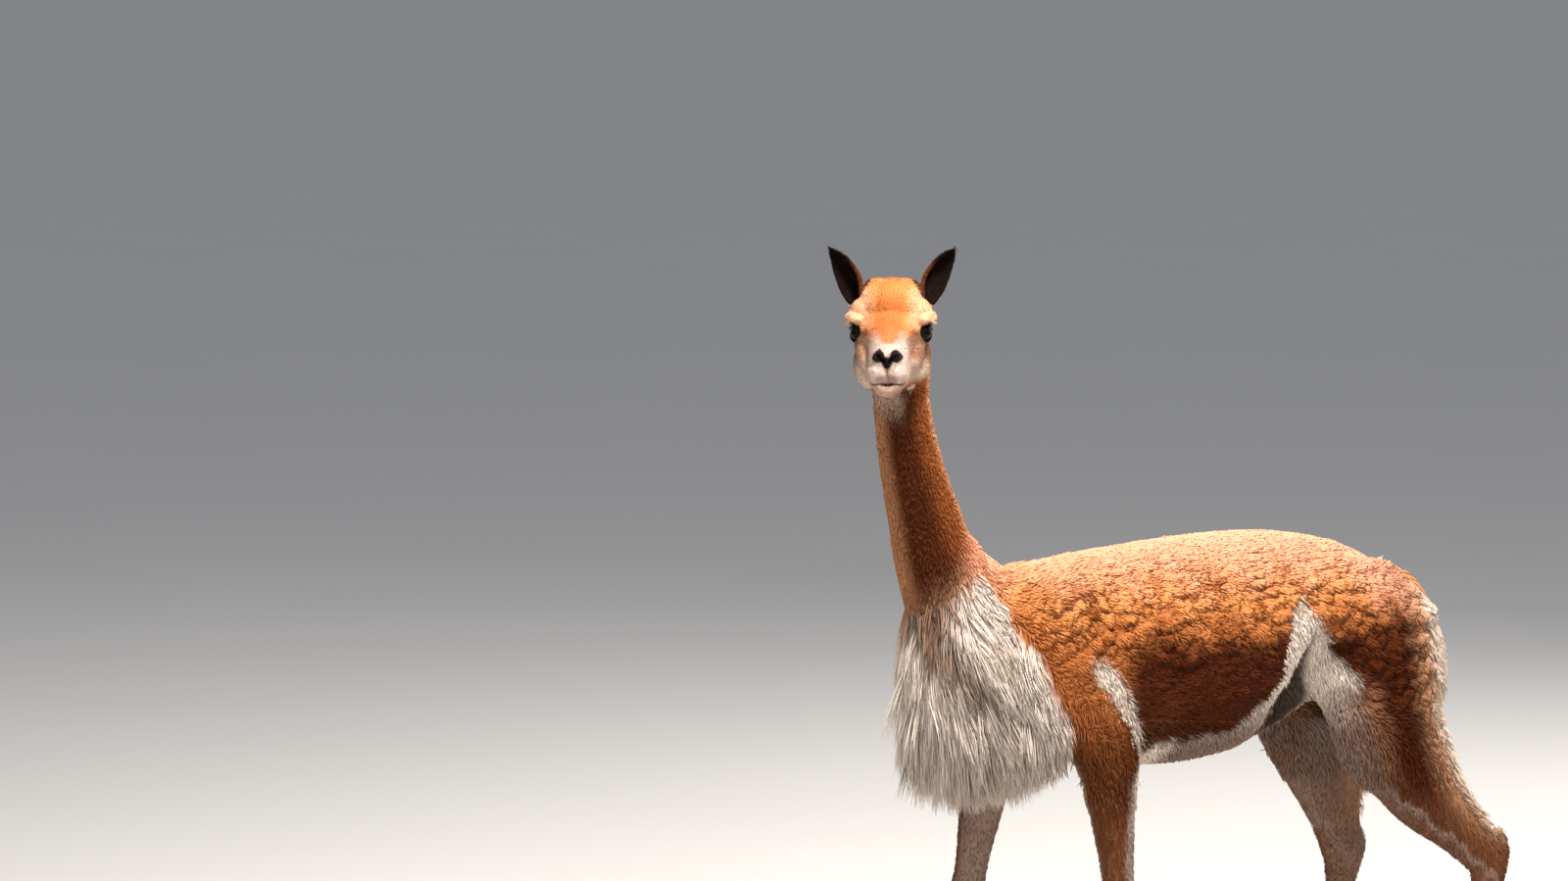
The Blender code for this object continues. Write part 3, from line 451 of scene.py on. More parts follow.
def face_masses():
    """Brows, lids, cheeks, nose, lips and chin."""
    pieces = [
        ball("nose", (0, -0.124, -0.041), (0.024, 0.015, 0.018)),
        ball("chin", (0, -0.104, -0.086), (0.017, 0.024, 0.012)),
        ball("forehead", (0, 0.014, 0.038), (0.053, 0.047, 0.042)),
        ball("frown", (0, -0.002, 0.02), (0.048, 0.035, 0.026)),
        ball("nape", (0, 0.058, -0.04), (0.04, 0.042, 0.08)),
    ]
    lid = EYE_RADIUS + LID_THICKNESS
    for side in SIDES.values():
        pieces += [
            ball("lip", (side * 0.013, -0.12, -0.06), (0.0185, 0.018, 0.0185)),
            ball("lids", mirrored(EYE_PLACE, side), (lid, lid, lid), 0, 36),
            ball("brow", (side * 0.049, 0.004, 0.024), (0.0225, 0.028, 0.013), 0.15),
            ball("crown", (side * 0.02, 0.03, 0.054), (0.032, 0.036, 0.031)),
            ball("temple", (side * 0.044, 0.026, 0.02), (0.018, 0.026, 0.03)),
            ball("brow_top", (side * 0.039, 0.012, 0.033), (0.024, 0.032, 0.023), 0.1),
            ball("cheekbone", (side * 0.0365, -0.012, -0.029), (0.0172, 0.052, 0.0205), 0.36),
            ball("jaw", (side * 0.033, 0.026, -0.048), (0.026, 0.05, 0.043)),
        ]
    return pieces


def groove(points, tree, width, depth, steps):
    """A cutter along a path on the surface: widest in its middle, with pointed ends."""
    path = [tree.find_nearest(Vector(point))[:2] for point in smooth_rows(points, steps)]
    rings = []
    for i, (place, normal) in enumerate(path):
        before, after = path[max(i - 1, 0)][0], path[min(i + 1, len(path) - 1)][0]
        across = (after - before).normalized().cross(normal).normalized()
        share = 0.25 + 0.75 * math.sin(math.pi * i / (len(path) - 1)) ** 0.6
        rings.append([place + (across * math.cos(a) * width / 2 + normal * math.sin(a) * depth) * share
                      for a in round_angles(10)])
    return skin_over("groove", rings)


def eye_axes(side):
    """An eye's middle, the way it looks, along its lids towards its outer corner, and up."""
    look = mirrored(EYE_LOOK, side)
    along = UP.cross(look).normalized() * side
    return mirrored(EYE_PLACE, side), look, along, look.cross(along).normalized() * side


def eye_opening(side):
    """An almond prism that opens the lids along the way the eye looks."""
    place, look, along, up = eye_axes(side)
    level, rise = math.cos(LID_DROOP), math.sin(LID_DROOP)
    rings = []
    for depth in (0.004, 0.034):
        ring = []
        for angle in round_angles(28):
            a = LID_OPENING[0] * math.cos(angle)
            b = LID_OPENING[1] * power(math.sin(angle), 1.25)
            ring.append(place + look * depth + along * (a * level - b * rise) + up * (a * rise + b * level))
        rings.append(ring)
    return skin_over("opening", rings)


def combine(obj, others, operation, solver="EXACT"):
    """One Boolean of obj with a collection of closed meshes, which are then removed."""
    group = bpy.data.collections.new("operands")
    for other in others:
        group.objects.link(other)
    boolean = obj.modifiers.new("Combine", "BOOLEAN")
    boolean.operation = operation
    boolean.operand_type = "COLLECTION"
    boolean.collection = group
    boolean.solver = solver
    applied(obj)
    for other in others:
        bpy.data.objects.remove(other)
    bpy.data.collections.remove(group)
    return obj


def tree_of(obj):
    """A search tree over a mesh's faces."""
    bm = bmesh.new()
    bm.from_mesh(obj.data)
    tree = BVHTree.FromBMesh(bm)
    bm.free()
    return tree


def places_of(obj):
    """The places and the smooth normals of a mesh's points, as arrays."""
    count = len(obj.data.vertices)
    points, normals = np.empty(count * 3), np.empty(count * 3)
    obj.data.vertices.foreach_get("co", points)
    obj.data.vertex_normals.foreach_get("vector", normals)
    return points.reshape(-1, 3), normals.reshape(-1, 3)


def height_over(plane, points):
    """How far places lie past a plane, which is given by a point and a direction."""
    return (points - plane[0]) @ (plane[1] / np.linalg.norm(plane[1]))


def behind_bib(points):
    """How far behind the edge of the bib and the neck a place lies."""
    z = points[:, 2]
    return points[:, 1] + 0.398 - 0.46 * np.maximum(0, 0.79 - z) - 0.3 * np.maximum(0, z - 0.79)


def wool_share(points):
    """1 where the coat is deep, on the trunk, and 0 on the neck, bib and legs and under the tail."""
    x, y, z = points.T
    beside_tail = 0.04 + 0.055 * fade(0.7, 0.74, z)
    under_tail = ease(0.33, 0.35, y) * fade(0, 0.015, np.abs(x) - beside_tail) * fade(0.735, 0.765, z)
    return ease(-0.004, 0.016, behind_bib(points)) * ease(0.52, 0.56, z) * (1 - under_tail)


def from_eye(local, side):
    """How far places in the head's frame are from the middle of an eye."""
    return np.linalg.norm(local - np.array(mirrored(EYE_PLACE, side)), axis=1)


def coat_depth(points):
    """How far the hide lies under the outline: by the fleece's core, and less under shorter hair."""
    z = points[:, 2]
    depth = 0.0022 + 0.004 * ease(0.36, 0.52, z)
    depth = depth + 0.006 * wool_share(points)
    on_head = ease(-0.01, 0.03, height_over(NECK_TOP, points))
    depth = depth * (1 - on_head) + 0.0014 * on_head
    local = in_head(points)
    for side in SIDES.values():
        depth = depth * ease(0.021, 0.03, from_eye(local, side))
    return depth


def pushed_in(obj):
    """The mesh moved in from the outline by the depth of its coat."""
    points, normals = places_of(obj)
    points = points - normals * coat_depth(points)[:, None]
    obj.data.vertices.foreach_set("co", points.ravel())
    obj.data.update()
    return obj


def head():
    inverse = head_frame().inverted()
    collar = neck()
    collar.data.transform(inverse)
    made = fused("head", [skull(), *face_masses(), collar], HEAD_VOXEL, 9)
    made.data.transform(head_frame())
    point, up_neck = Vector(NECK_TOP[0]), Vector(NECK_TOP[1])
    made = pushed_in(cut(made, point - up_neck * HEAD_LAP, -up_neck))
    made.data.transform(inverse)
    tree = tree_of(made)
    cutters = [
        groove(MOUTH_PATH, tree, width=0.003, depth=0.0046, steps=6),
        ball("philtrum", (0, -0.14, -0.06), (0.0014, 0.006, 0.014), 0, 14),
    ]
    for side in SIDES.values():
        nostril = [(side * x, y, z) for x, y, z in NOSTRIL_PATH]
        cutters.append(groove(nostril, tree, width=0.0084, depth=0.0075, steps=4))
        cutters.append(ball("socket", mirrored(EYE_PLACE, side), [EYE_RADIUS + 0.0002] * 3, 0, 32))
        cutters.append(eye_opening(side))
    made = combine(made, cutters, "DIFFERENCE", "MANIFOLD")
    made.data.transform(head_frame())
    return made


# ---------------------------------------------------------------------------------------------
# The ears: long cupped leaves of gristle under thin hide, which open forwards and outwards.
# They grow from the top of the head, so they are joined to the same skin.
EAR_LENGTH = 0.093
EAR_HALF_WIDTH = 0.0196
EAR_THICKNESS = 0.0034
# Each row: the share of the way up, the share of EAR_HALF_WIDTH, and how far round the leaf curls, in degrees
EAR_ROWS = (
    (-0.16, 0.62, 150),
    (0.0, 0.7, 140),
    (0.14, 0.84, 118),
    (0.34, 1.0, 92),
    (0.56, 0.96, 74),
    (0.76, 0.72, 62),
    (0.91, 0.38, 55),
    (1.0, 0.09, 50),
)
EAR_ROOT = Vector((0.0478, 0.03, 0.048))
EAR_AXIS = Vector((0.5, 0.08, 0.85)).normalized()
EAR_OPENING = Vector((0.42, -0.9, 0.0))


def ear_axes(side):
    """An ear's root, the way up it, the way its cup opens, and across it."""
    axis = mirrored(EAR_AXIS, side)
    facing = mirrored(EAR_OPENING, side)
    facing = (facing - axis * facing.dot(axis)).normalized()
    return mirrored(EAR_ROOT, side), axis, facing, axis.cross(facing)


def ear(side):
    """A curled leaf, with an outer face and an inner one a little way in front of it."""
    root, axis, facing, across = ear_axes(side)
    rings = []
    for share, width, curl in smooth_rows(EAR_ROWS, 4):
        reach = math.radians(curl)
        half_width = EAR_HALF_WIDTH * width
        radius = half_width / max(math.sin(min(reach, math.pi / 2)), 0.2)
        thin = EAR_THICKNESS * (0.45 + 0.55 * min(1, width * 1.3))
        middle = root + axis * EAR_LENGTH * share + facing * radius * 0.5
        middle -= facing * 0.01 * math.sin(math.pi * max(share, 0))
        ring = []
        for rim, size in ((1, radius), (-1, max(radius - thin, radius * 0.25))):
            for k in range(15):
                angle = rim * (k / 14 * 2 - 1) * reach
                ring.append(middle - facing * size * math.cos(angle) + across * size * math.sin(angle))
        rings.append(ring)
    obj = skin_over("ear", rings)
    obj.data.transform(head_frame())
    return obj


# ---------------------------------------------------------------------------------------------
# The tail: short, hanging from the rump, with long hair to its tip. In life it is a row of small bones
# under the rump's own hide, so it is joined to the same skin.
# Each row: its place, its half width and its half depth
TAIL_ROWS = (
    (0, 0.335, 0.742, 0.019, 0.018),
    (0, 0.376, 0.726, 0.021, 0.019),
    (0, 0.404, 0.695, 0.02, 0.018),
    (0, 0.415, 0.64, 0.016, 0.014),
    (0, 0.419, 0.59, 0.011, 0.01),
    (0, 0.42, 0.565, 0.006, 0.005),
)

# ---------------------------------------------------------------------------------------------
# The skin: trunk, neck, legs, tail, head and ears become one hide, with its joins smoothed.
# In life it is one skin from the nose to the toes. Its wool stands up in rounded clumps.
SKIN_TRIANGLES = 186000
BODY_VOXEL = 0.0052
TAIL_VOXEL = 0.003
NECK_LAP = 0.005
TRIES = 3.5  # how many places are tried for each one kept, when they are spread over the skin


def smoothed_bands(obj, rounds):
    """Evens out the narrow bands where the legs and the head were joined on."""
    bm = bmesh.new()
    bm.from_mesh(obj.data)
    points = np.array([vert.co for vert in bm.verts])
    at_legs = np.abs(points[:, 2] - LEG_CUT) < 0.02
    at_head = np.abs(height_over(NECK_TOP, points)) < 0.016
    at_head &= np.linalg.norm(points[:, :2] - np.array((0, -0.515)), axis=1) < 0.09
    bm.verts.ensure_lookup_table()
    band = [bm.verts[i] for i in np.flatnonzero(at_legs | at_head)]
    for _ in range(rounds):
        bmesh.ops.smooth_vert(bm, verts=band, factor=0.5, use_axis_x=True, use_axis_y=True, use_axis_z=True)
    bm.to_mesh(obj.data)
    bm.free()
    return obj


def whole_skin():
    """One closed mesh of the whole animal, without eyes and nails, and with the coat's depth taken off."""
    body = pushed_in(fused("skin", [trunk(), *body_masses(), neck(), *upper_legs()], BODY_VOXEL, 16))
    body = cut(body, UP * (LEG_CUT - UPPER_LAP), DOWN)
    point, up_neck = Vector(NECK_TOP[0]), Vector(NECK_TOP[1])
    body = cut(body, point + up_neck * NECK_LAP, up_neck)
    others = [head(), fused("tail", [tube("core", TAIL_ROWS)], TAIL_VOXEL, 2)]
    for where, side in SIDES.items():
        others.append(ear(side))
        others.append(pushed_in(lower_leg(side, FORE_JOINTS[where], FORE_ROWS, False)))
        others.append(pushed_in(lower_leg(side, HIND_JOINTS[where], HIND_ROWS, True)))
    body = combine(body, others, "UNION", "MANIFOLD")
    bm = bmesh.new()
    bm.from_mesh(body.data)
    bmesh.ops.triangulate(bm, faces=bm.faces)
    bm.to_mesh(body.data)
    bm.free()
    decimate = body.modifiers.new("Coarser", "DECIMATE")
    decimate.ratio = min(1.0, SKIN_TRIANGLES / len(body.data.polygons))
    return smoothed_bands(applied(body), 6)


skin = whole_skin()
skin_tree = tree_of(skin)
skin_points, skin_normals = places_of(skin)
skin_corners = np.array([face.vertices for face in skin.data.polygons])
rng = np.random.default_rng(11)


def unit(vectors):
    """The vectors at a length of 1."""
    return vectors / np.maximum(np.linalg.norm(vectors, axis=-1, keepdims=True), 1e-9)


def scattered(share_at, spacing):
    """Places with smooth normals, spread over the skin: one for each cell of a grid, thinned by share_at."""
    corners = skin_points[skin_corners]
    first, second, third = corners.transpose(1, 0, 2)
    areas = np.linalg.norm(np.cross(second - first, third - first), axis=1) / 2
    weights = areas * (share_at(corners.mean(axis=1)) > 0.02)
    count = int(weights.sum() / spacing**2 * TRIES)
    picked = rng.choice(len(areas), count, p=weights / weights.sum())
    a, b = np.sort(rng.random((2, count)), axis=0)
    shares = np.stack([a, b - a, 1 - b], axis=1)[:, :, None]
    points = (corners[picked] * shares).sum(axis=1)
    normals = unit((skin_normals[skin_corners[picked]] * shares).sum(axis=1))
    cells = np.floor(points / spacing).astype(int)
    _, first = np.unique(cells, axis=0, return_index=True)
    points, normals = points[first], normals[first]
    kept = rng.random(len(points)) < share_at(points)
    return points[kept], normals[kept]


def along_rows(value, rows):
    """The second numbers of the rows, read in straight lines between the first ones."""
    return np.interp(value, *zip(*rows))


def hind_shift(points):
    """How far the right hind leg stands before the left one, at each height."""
    ahead = along_rows(points[:, 2], ((0.076, 0.17), (0.29, 0.138), (0.4, 0.066), (0.51, 0.03), (0.62, 0)))
    return np.where((points[:, 0] < 0) & (points[:, 1] > 0.1), ahead, 0)


# The upper edge of the white on each side. Each row: a place along Y, and the height there
WHITE_ROWS = (
    (-0.2, 0.42), (-0.165, 0.49), (-0.14, 0.51), (-0.03, 0.52), (0.01, 0.541), (0.044, 0.577),
    (0.066, 0.612), (0.078, 0.665), (0.09, 0.712), (0.104, 0.738), (0.122, 0.716), (0.146, 0.682),
    (0.176, 0.648), (0.212, 0.6), (0.232, 0.565), (0.247, 0.525), (0.264, 0.47), (0.282, 0.43),
    (0.31, 0.4), (0.37, 0.355), (0.435, 0.31), (0.5, 0.25), (0.54, 0.2),
)
# The white strip behind each elbow. Each row: a height, with its front and its rear along Y
STRIP_ROWS = (
    (0.45, -0.15, -0.135),
    (0.498, -0.165, -0.15),
    (0.525, -0.182, -0.163),
    (0.565, -0.208, -0.182),
    (0.604, -0.236, -0.2),
    (0.628, -0.264, -0.216),
    (0.65, -0.27, -0.238),
)


def white_below(y):
    """The height up to which the coat is white on the sides, which peaks in the fold of the flank."""
    return along_rows(y, WHITE_ROWS) + 0.004 * np.sin(95 * y) + 0.003 * np.sin(233 * y + 1)


def strip_share(points):
    """1 in the white strip behind each elbow, which widens downwards from a point."""
    x, y, z = points.T
    front, rear = edges_at(STRIP_ROWS, z)
    share = ease(-0.005, 0.009, y - front) * fade(-0.006, 0.006, y - rear)
    return share * fade(0.636, 0.662, z) * ease(0.06, 0.08, np.abs(x)) * ease(0.45, 0.47, z)


def white_share(points):
    """1 where the coat is white and soft: in the flank's fold, on the belly and behind each elbow."""
    x, y, z = points.T
    low = fade(-0.009, 0.009, z - white_below(y + hind_shift(points))) * ease(-0.19, -0.16, y)
    under = fade(0.48, 0.53, z) * fade(0.06, 0.105, np.abs(x))
    return np.maximum(np.maximum(low, under), strip_share(points))


def fleece_share(points):
    """1 where the fleece stands in clumps."""
    return wool_share(points) * (1 - white_share(points))


def ear_shares(local):
    """How far a place is up an ear, 0 at the root and 1 at the tip, how far inside its cup, and how far across.

    The places are in the head's frame. A place off the ears gets -1.
    """
    side = np.where(local[:, 0] < 0, -1.0, 1.0)
    folded = local * np.stack([side, np.ones_like(side), np.ones_like(side)], axis=1)
    root, axis, facing, across = [np.array(part) for part in ear_axes(1)]
    share = (folded - root) @ axis / EAR_LENGTH
    outside = np.linalg.norm(folded - root - np.clip(share, 0, 1)[:, None] * axis * EAR_LENGTH, axis=1)
    on_ear = (share > -0.1) & (outside < 0.018 + 0.015 * ease(0.0, 0.2, share)) & (local[:, 2] > 0.038)
    return np.where(on_ear, share, -1), (folded - root) @ facing, (folded - root) @ across


def painted(under, over, share):
    """A colour or a direction with another over it, by a share for each place."""
    return under + (over - under) * np.clip(share, 0, 1)[:, None]


def lie_of(points, normals, ruffle=0.0):
    """The way the coat lies: back and down on the trunk, down the neck, bib and legs, back over the head."""
    z = points[:, 2]
    fall = (0.25 + 0.65 * (1 - np.abs(normals[:, 2]))) * (0.45 + 0.55 * ease(0.58, 0.68, z))
    on_trunk = np.stack([np.zeros_like(z), np.ones_like(z), -fall], axis=1)
    down = np.stack([0 * z, 0 * z + 0.16, 0 * z - 1], axis=1)
    soft = np.stack([0 * z, 0 * z + 0.45, 0 * z - 1], axis=1)
    head_back = np.array((0, 1.0, 0.1)) @ HEAD_AXES.T
    low = fade(0.44, 0.56, z)
    front = fade(-0.02, 0.03, behind_bib(points))
    rear = ease(0.3, 0.38, points[:, 1]) * fade(0.7, 0.76, z)
    flow = painted(on_trunk, soft, white_share(points))
    flow = painted(flow, down, np.maximum(np.maximum(low, front), rear))
    on_head = ease(-0.01, 0.02, height_over(NECK_TOP, points)) * (z > 1.0)
    flow = painted(flow, head_back, on_head)
    local = in_head(points)
    share, _, _ = ear_shares(local)
    for side in SIDES.values():
        axis = np.array(ear_axes(side)[1]) @ HEAD_AXES.T
        flow = painted(flow, axis, (share > 0) * (local[:, 0] * side > 0))
    flow = unit(flow) + rng.normal(0, 1, flow.shape) * ruffle
    return unit(flow - normals * (flow * normals).sum(axis=1, keepdims=True))


# Clumps of wool: the spacing between them, and how high they stand on the hide
CLUMP_SPACING = 0.02
CLUMP_RISE = 0.0092
WAVE_RISE = 0.0024


def warped(points):
    """Places moved about a little and drawn out along the body, so that the clumps are uneven."""
    x, y, z = points.T
    shift = (np.sin(61 * y + 83 * z + 1.3), np.sin(97 * z + 43 * x), np.sin(71 * y - 57 * x + 0.7))
    fine = (np.sin(273 * z - 231 * y), np.sin(251 * x + 290 * z + 2.1), np.sin(267 * y + 143 * z))
    moved = points + 0.0062 * np.stack(shift, axis=1) + 0.003 * np.stack(fine, axis=1)
    sloped = moved[:, 2] + 0.22 * moved[:, 1]
    return np.stack([moved[:, 0], 0.52 * moved[:, 1], sloped], axis=1)


def waves(points):
    """Long low waves in the fleece, along the body: 1 on a crest and -1 in a trough."""
    x, y, z = points.T
    drift = 2.4 * np.sin(19 * y + 1.1) + 1.6 * np.sin(37 * y - 23 * z) + 0.8 * np.sin(83 * y + 31 * z)
    return np.sin(128 * z + 30 * y + 9 * np.abs(x) + drift) * (0.62 + 0.38 * np.sin(41 * y + 17 * z + 2))


clump_points, _ = scattered(lambda points: 0.8 * fleece_share(points), CLUMP_SPACING)
clump_size = rng.uniform(0.45, 1.2, len(clump_points))


def finder_over(points):
    """A tree that finds the nearest of the places."""
    tree = KDTree(len(points))
    for i, point in enumerate(points):
        tree.insert(point, i)
    tree.balance()
    return tree


clump_tree = finder_over(warped(clump_points))


def clump_fit(points, lie):
    """For each place: its clump, how near the clump's rim, how far along it, and how deep in a gap it lies.

    A clump overlaps the next one along the lie, so the gaps get painted shade, strongest on their far side.
    Some stay closed.
    """
    nearest, second = np.zeros(len(points), int), np.zeros(len(points), int)
    rim = np.ones(len(points))
    for i, point in enumerate(warped(points)):
        (_, first, near), (_, other, far) = clump_tree.find_n(point, 2)
        nearest[i], second[i] = first, other
        rim[i] = 1 - min(1.0, (far - near) / (0.62 * CLUMP_SPACING))
    apart = unit(clump_points[nearest] - clump_points[second])
    stacked = ease(0.2, 0.65, np.abs(apart[:, 2]))
    below = apart[:, 2] < 0
    along = ((points - clump_points[nearest]) * lie).sum(axis=1) / CLUMP_SPACING
    pair = np.minimum(nearest, second) * 7.13 + np.maximum(nearest, second) * 3.71
    height = points[:, 2] + 0.05 * ease(0.16, 0.26, points[:, 1]) * (points[:, 2] < 0.76)
    closed = along_rows(height, ((0.66, 0.1), (0.7, 0.26), (0.74, 0.52), (0.78, 0.82), (0.815, 1.1)))
    opened = ease(-0.1, 0.12, 0.5 + 0.5 * np.sin(pair) - closed)
    gap = ease(0.15, 0.85, rim) * opened * (0.25 + 0.75 * stacked) * (0.7 + 0.3 * below)
    return nearest, rim, along, gap


def relief(points):
    """How strongly the clumps stand out: most on the sides and haunches, less on the back and low flank."""
    _, y, z = points.T
    uneven = 0.78 + 0.22 * np.sin(31 * y + 17 * z) * np.sin(27 * z - 13 * y + 1)
    low = 0.22 + 0.78 * ease(0.6, 0.68, z + 0.3 * ease(0.2, 0.3, y))
    return uneven * (1 - 0.82 * ease(0.745, 0.805, z + 0.055 * ease(0.2, 0.32, y))) * low


wool_places = np.flatnonzero(fleece_share(skin_points) > 0.02)
hide, outwards = skin_points[wool_places], skin_normals[wool_places]
woolly = fleece_share(hide)
near, rim, along, gap = clump_fit(hide, lie_of(hide, outwards))
slope = 0.55 + 0.45 * ease(-0.5, 0.5, along)
strength = relief(hide) * woolly
rise = CLUMP_RISE * (1 - rim**1.6) * slope * clump_size[near] * strength
rise = (rise + WAVE_RISE * (1 + waves(hide)) * strength) * ease(0.0, 0.05, behind_bib(hide))
skin_points[wool_places] = hide + outwards * rise[:, None]
skin.data.vertices.foreach_set("co", skin_points.ravel())
skin.data.update()

# ---------------------------------------------------------------------------------------------
# The colours, which hide and hair share: cinnamon fleece, paler on the back by a painted highlight and darker
# on the low flank and haunch, partly by painted shade; white bib, belly, flank fold and rump edge, with painted
# shade low on the white and a painted shadow down the bib; tan legs darkened by painted shade; and the face
# with its white muzzle. Each is painted in turn over the ones before it, by its share at each place.


def linear(red, green, blue):
    """A colour given as it looks on a screen, 0 to 255, as light."""
    value = np.array((red, green, blue)) / 255
    return np.where(value > 0.04045, ((value + 0.055) / 1.055) ** 2.4, value / 12.92)


# Painted highlight: the fleece paler high on the back, where the light falls.
SUNLIT_BACK_FLEECE = linear(238, 166, 132)
FLEECE = linear(222, 144, 82)
# The darker fleece of the low flank and haunch, partly painted shade.
SHADED_DEEP_FLEECE = linear(80, 33, 8)
WHITE_WOOL = linear(248, 231, 216)
GREY_WOOL = linear(156, 126, 108)
NECK_BACK = linear(160, 90, 46)
# The neck's sides, darkened by painted shade.
SHADED_NECK_SIDE = linear(92, 42, 16)
NECK_FRONT = linear(194, 136, 94)
# Painted rim light on the neck's rear edge.
NECK_RIM_LIGHT = linear(206, 146, 104)
NECK_TAN = linear(154, 112, 84)
# The legs' tan, brown and cream, darkened by painted shade.
SHADED_LEG_TAN = linear(112, 68, 42)
SHADED_LEG_BROWN = linear(100, 54, 26)
SHADED_LEG_CREAM = linear(138, 110, 92)
FOREHEAD = linear(222, 128, 68)
FOREHEAD_PALE = linear(234, 178, 138)
CHEEK = linear(164, 120, 92)
CHEEK_SHADE = linear(126, 86, 64)
JAW = linear(212, 186, 164)
MUZZLE = linear(200, 176, 162)
BRIDGE = linear(192, 110, 58)
# Painted shade on the upper lip under the nose.
LIP_SHADE_GREY = linear(150, 118, 110)
NOSE_BLACK = linear(26, 17, 15)
EAR_BROWN = linear(22, 9, 5)
EAR_RED = linear(92, 46, 18)
EAR_GREY = linear(112, 88, 74)
TOE_BROWN = linear(98, 68, 48)
BROW_CREAM = linear(226, 188, 146)
EDGE_CREAM = linear(226, 206, 186)
SHADE_BROWN = linear(50, 28, 17)
THIGH_TAN = linear(146, 98, 70)
RIM_TAN = linear(204, 150, 112)
# Painted shade on the white low down.
SHADED_UNDER_BROWN = linear(118, 86, 68)
# The flank's fleece, darker downwards, partly by painted shade.
SHADED_FLANK_FLEECE = linear(160, 84, 36)
# Painted shade in the crease across the top of the bridge.
CREASE_SHADE_TAN = linear(176, 104, 44)
# Painted shade at the inner corner of each eye, between the eye and the bridge.
CORNER_SHADE_BROWN = linear(96, 58, 36)
CHIN_TAN = linear(190, 150, 124)
MOUTH_GREY = linear(140, 112, 100)
MOUTH_BROWN = linear(52, 28, 16)
# Painted shade on the hide deep in a gap between clumps.
HIDE_GAP_SHADE_TINT = np.array((0.42, 0.28, 0.16))  # what the hide's colour is multiplied by, deep in a gap


# The level way across the photo's view, along X and Y
ACROSS_X, ACROSS_Y = 0.449, 0.893


def layered(base, count, layers):
    """One colour for each of count places, with others painted over it in turn by their shares."""
    colour = np.tile(base, (count, 1))
    for over, share in layers:
        colour = painted(colour, over, share)
    return colour


def breadthways(vectors):
    """How far round towards the rear a place or a direction is, as seen from the nearer front corner."""
    return ACROSS_X * np.abs(vectors[:, 0]) + ACROSS_Y * vectors[:, 1]


def bib_top(points):
    """The height at which the bib gives way to the neck's brown: higher at the sides than in front."""
    across = breadthways(points)
    edge = along_rows(across, ((-0.46, 0.722), (-0.42, 0.73), (-0.375, 0.758), (-0.335, 0.792)))
    return edge + 0.003 * np.sin(170 * across + 2)


def bib_share(points):
    """1 on the bib."""
    _, y, z = points.T
    rear = -0.4 + 0.46 * (0.781 - z) + 0.004 * np.sin(70 * z) + 0.003 * np.sin(181 * z + 1)
    return ease(-0.004, 0.01, rear - y) * fade(-0.016, 0.016, z - bib_top(points)) * ease(0.4, 0.44, z)


def neck_shadow_band(points):
    """1 down the middle of the band of painted shadow that the head and neck cast down the bib's front."""
    x, y, z = points.T
    across = ACROSS_X * x + ACROSS_Y * y
    middle = along_rows(z, ((0.6, -0.335), (0.66, -0.372), (0.71, -0.408), (0.76, -0.418)))
    half = along_rows(z, ((0.66, 0.022), (0.71, 0.026), (0.76, 0.03)))
    return np.exp(-((across - middle) / half) ** 2) * ease(0.575, 0.63, z) * ease(-0.01, 0.02, x)


# The rear edge of the haunch's brown. Each row: a height, and the place along Y
RUMP_ROWS = ((0.2, 0.56), (0.349, 0.476), (0.416, 0.422), (0.48, 0.392), (0.547, 0.366),
             (0.608, 0.363), (0.67, 0.352), (0.716, 0.342), (0.754, 0.332), (0.8, 0.34))


def rump_rim(points):
    """How far behind the haunch's brown a place lies, in metres."""
    return points[:, 1] + hind_shift(points) - along_rows(points[:, 2], RUMP_ROWS)


def rump_edge(points):
    """1 on the cream rear edge of the rump."""
    return ease(-0.022, 0.006, rump_rim(points))


def segment_share(a, b, first, last, radius, soft):
    """1 near the line between two places (a, b), and 0 away from it."""
    (a0, b0), (a1, b1) = first, last
    t = np.clip(((a - a0) * (a1 - a0) + (b - b0) * (b1 - b0)) / ((a1 - a0) ** 2 + (b1 - b0) ** 2), 0, 1)
    away = np.hypot(a - a0 - t * (a1 - a0), b - b0 - t * (b1 - b0))
    return fade(radius - soft, radius + soft, away)


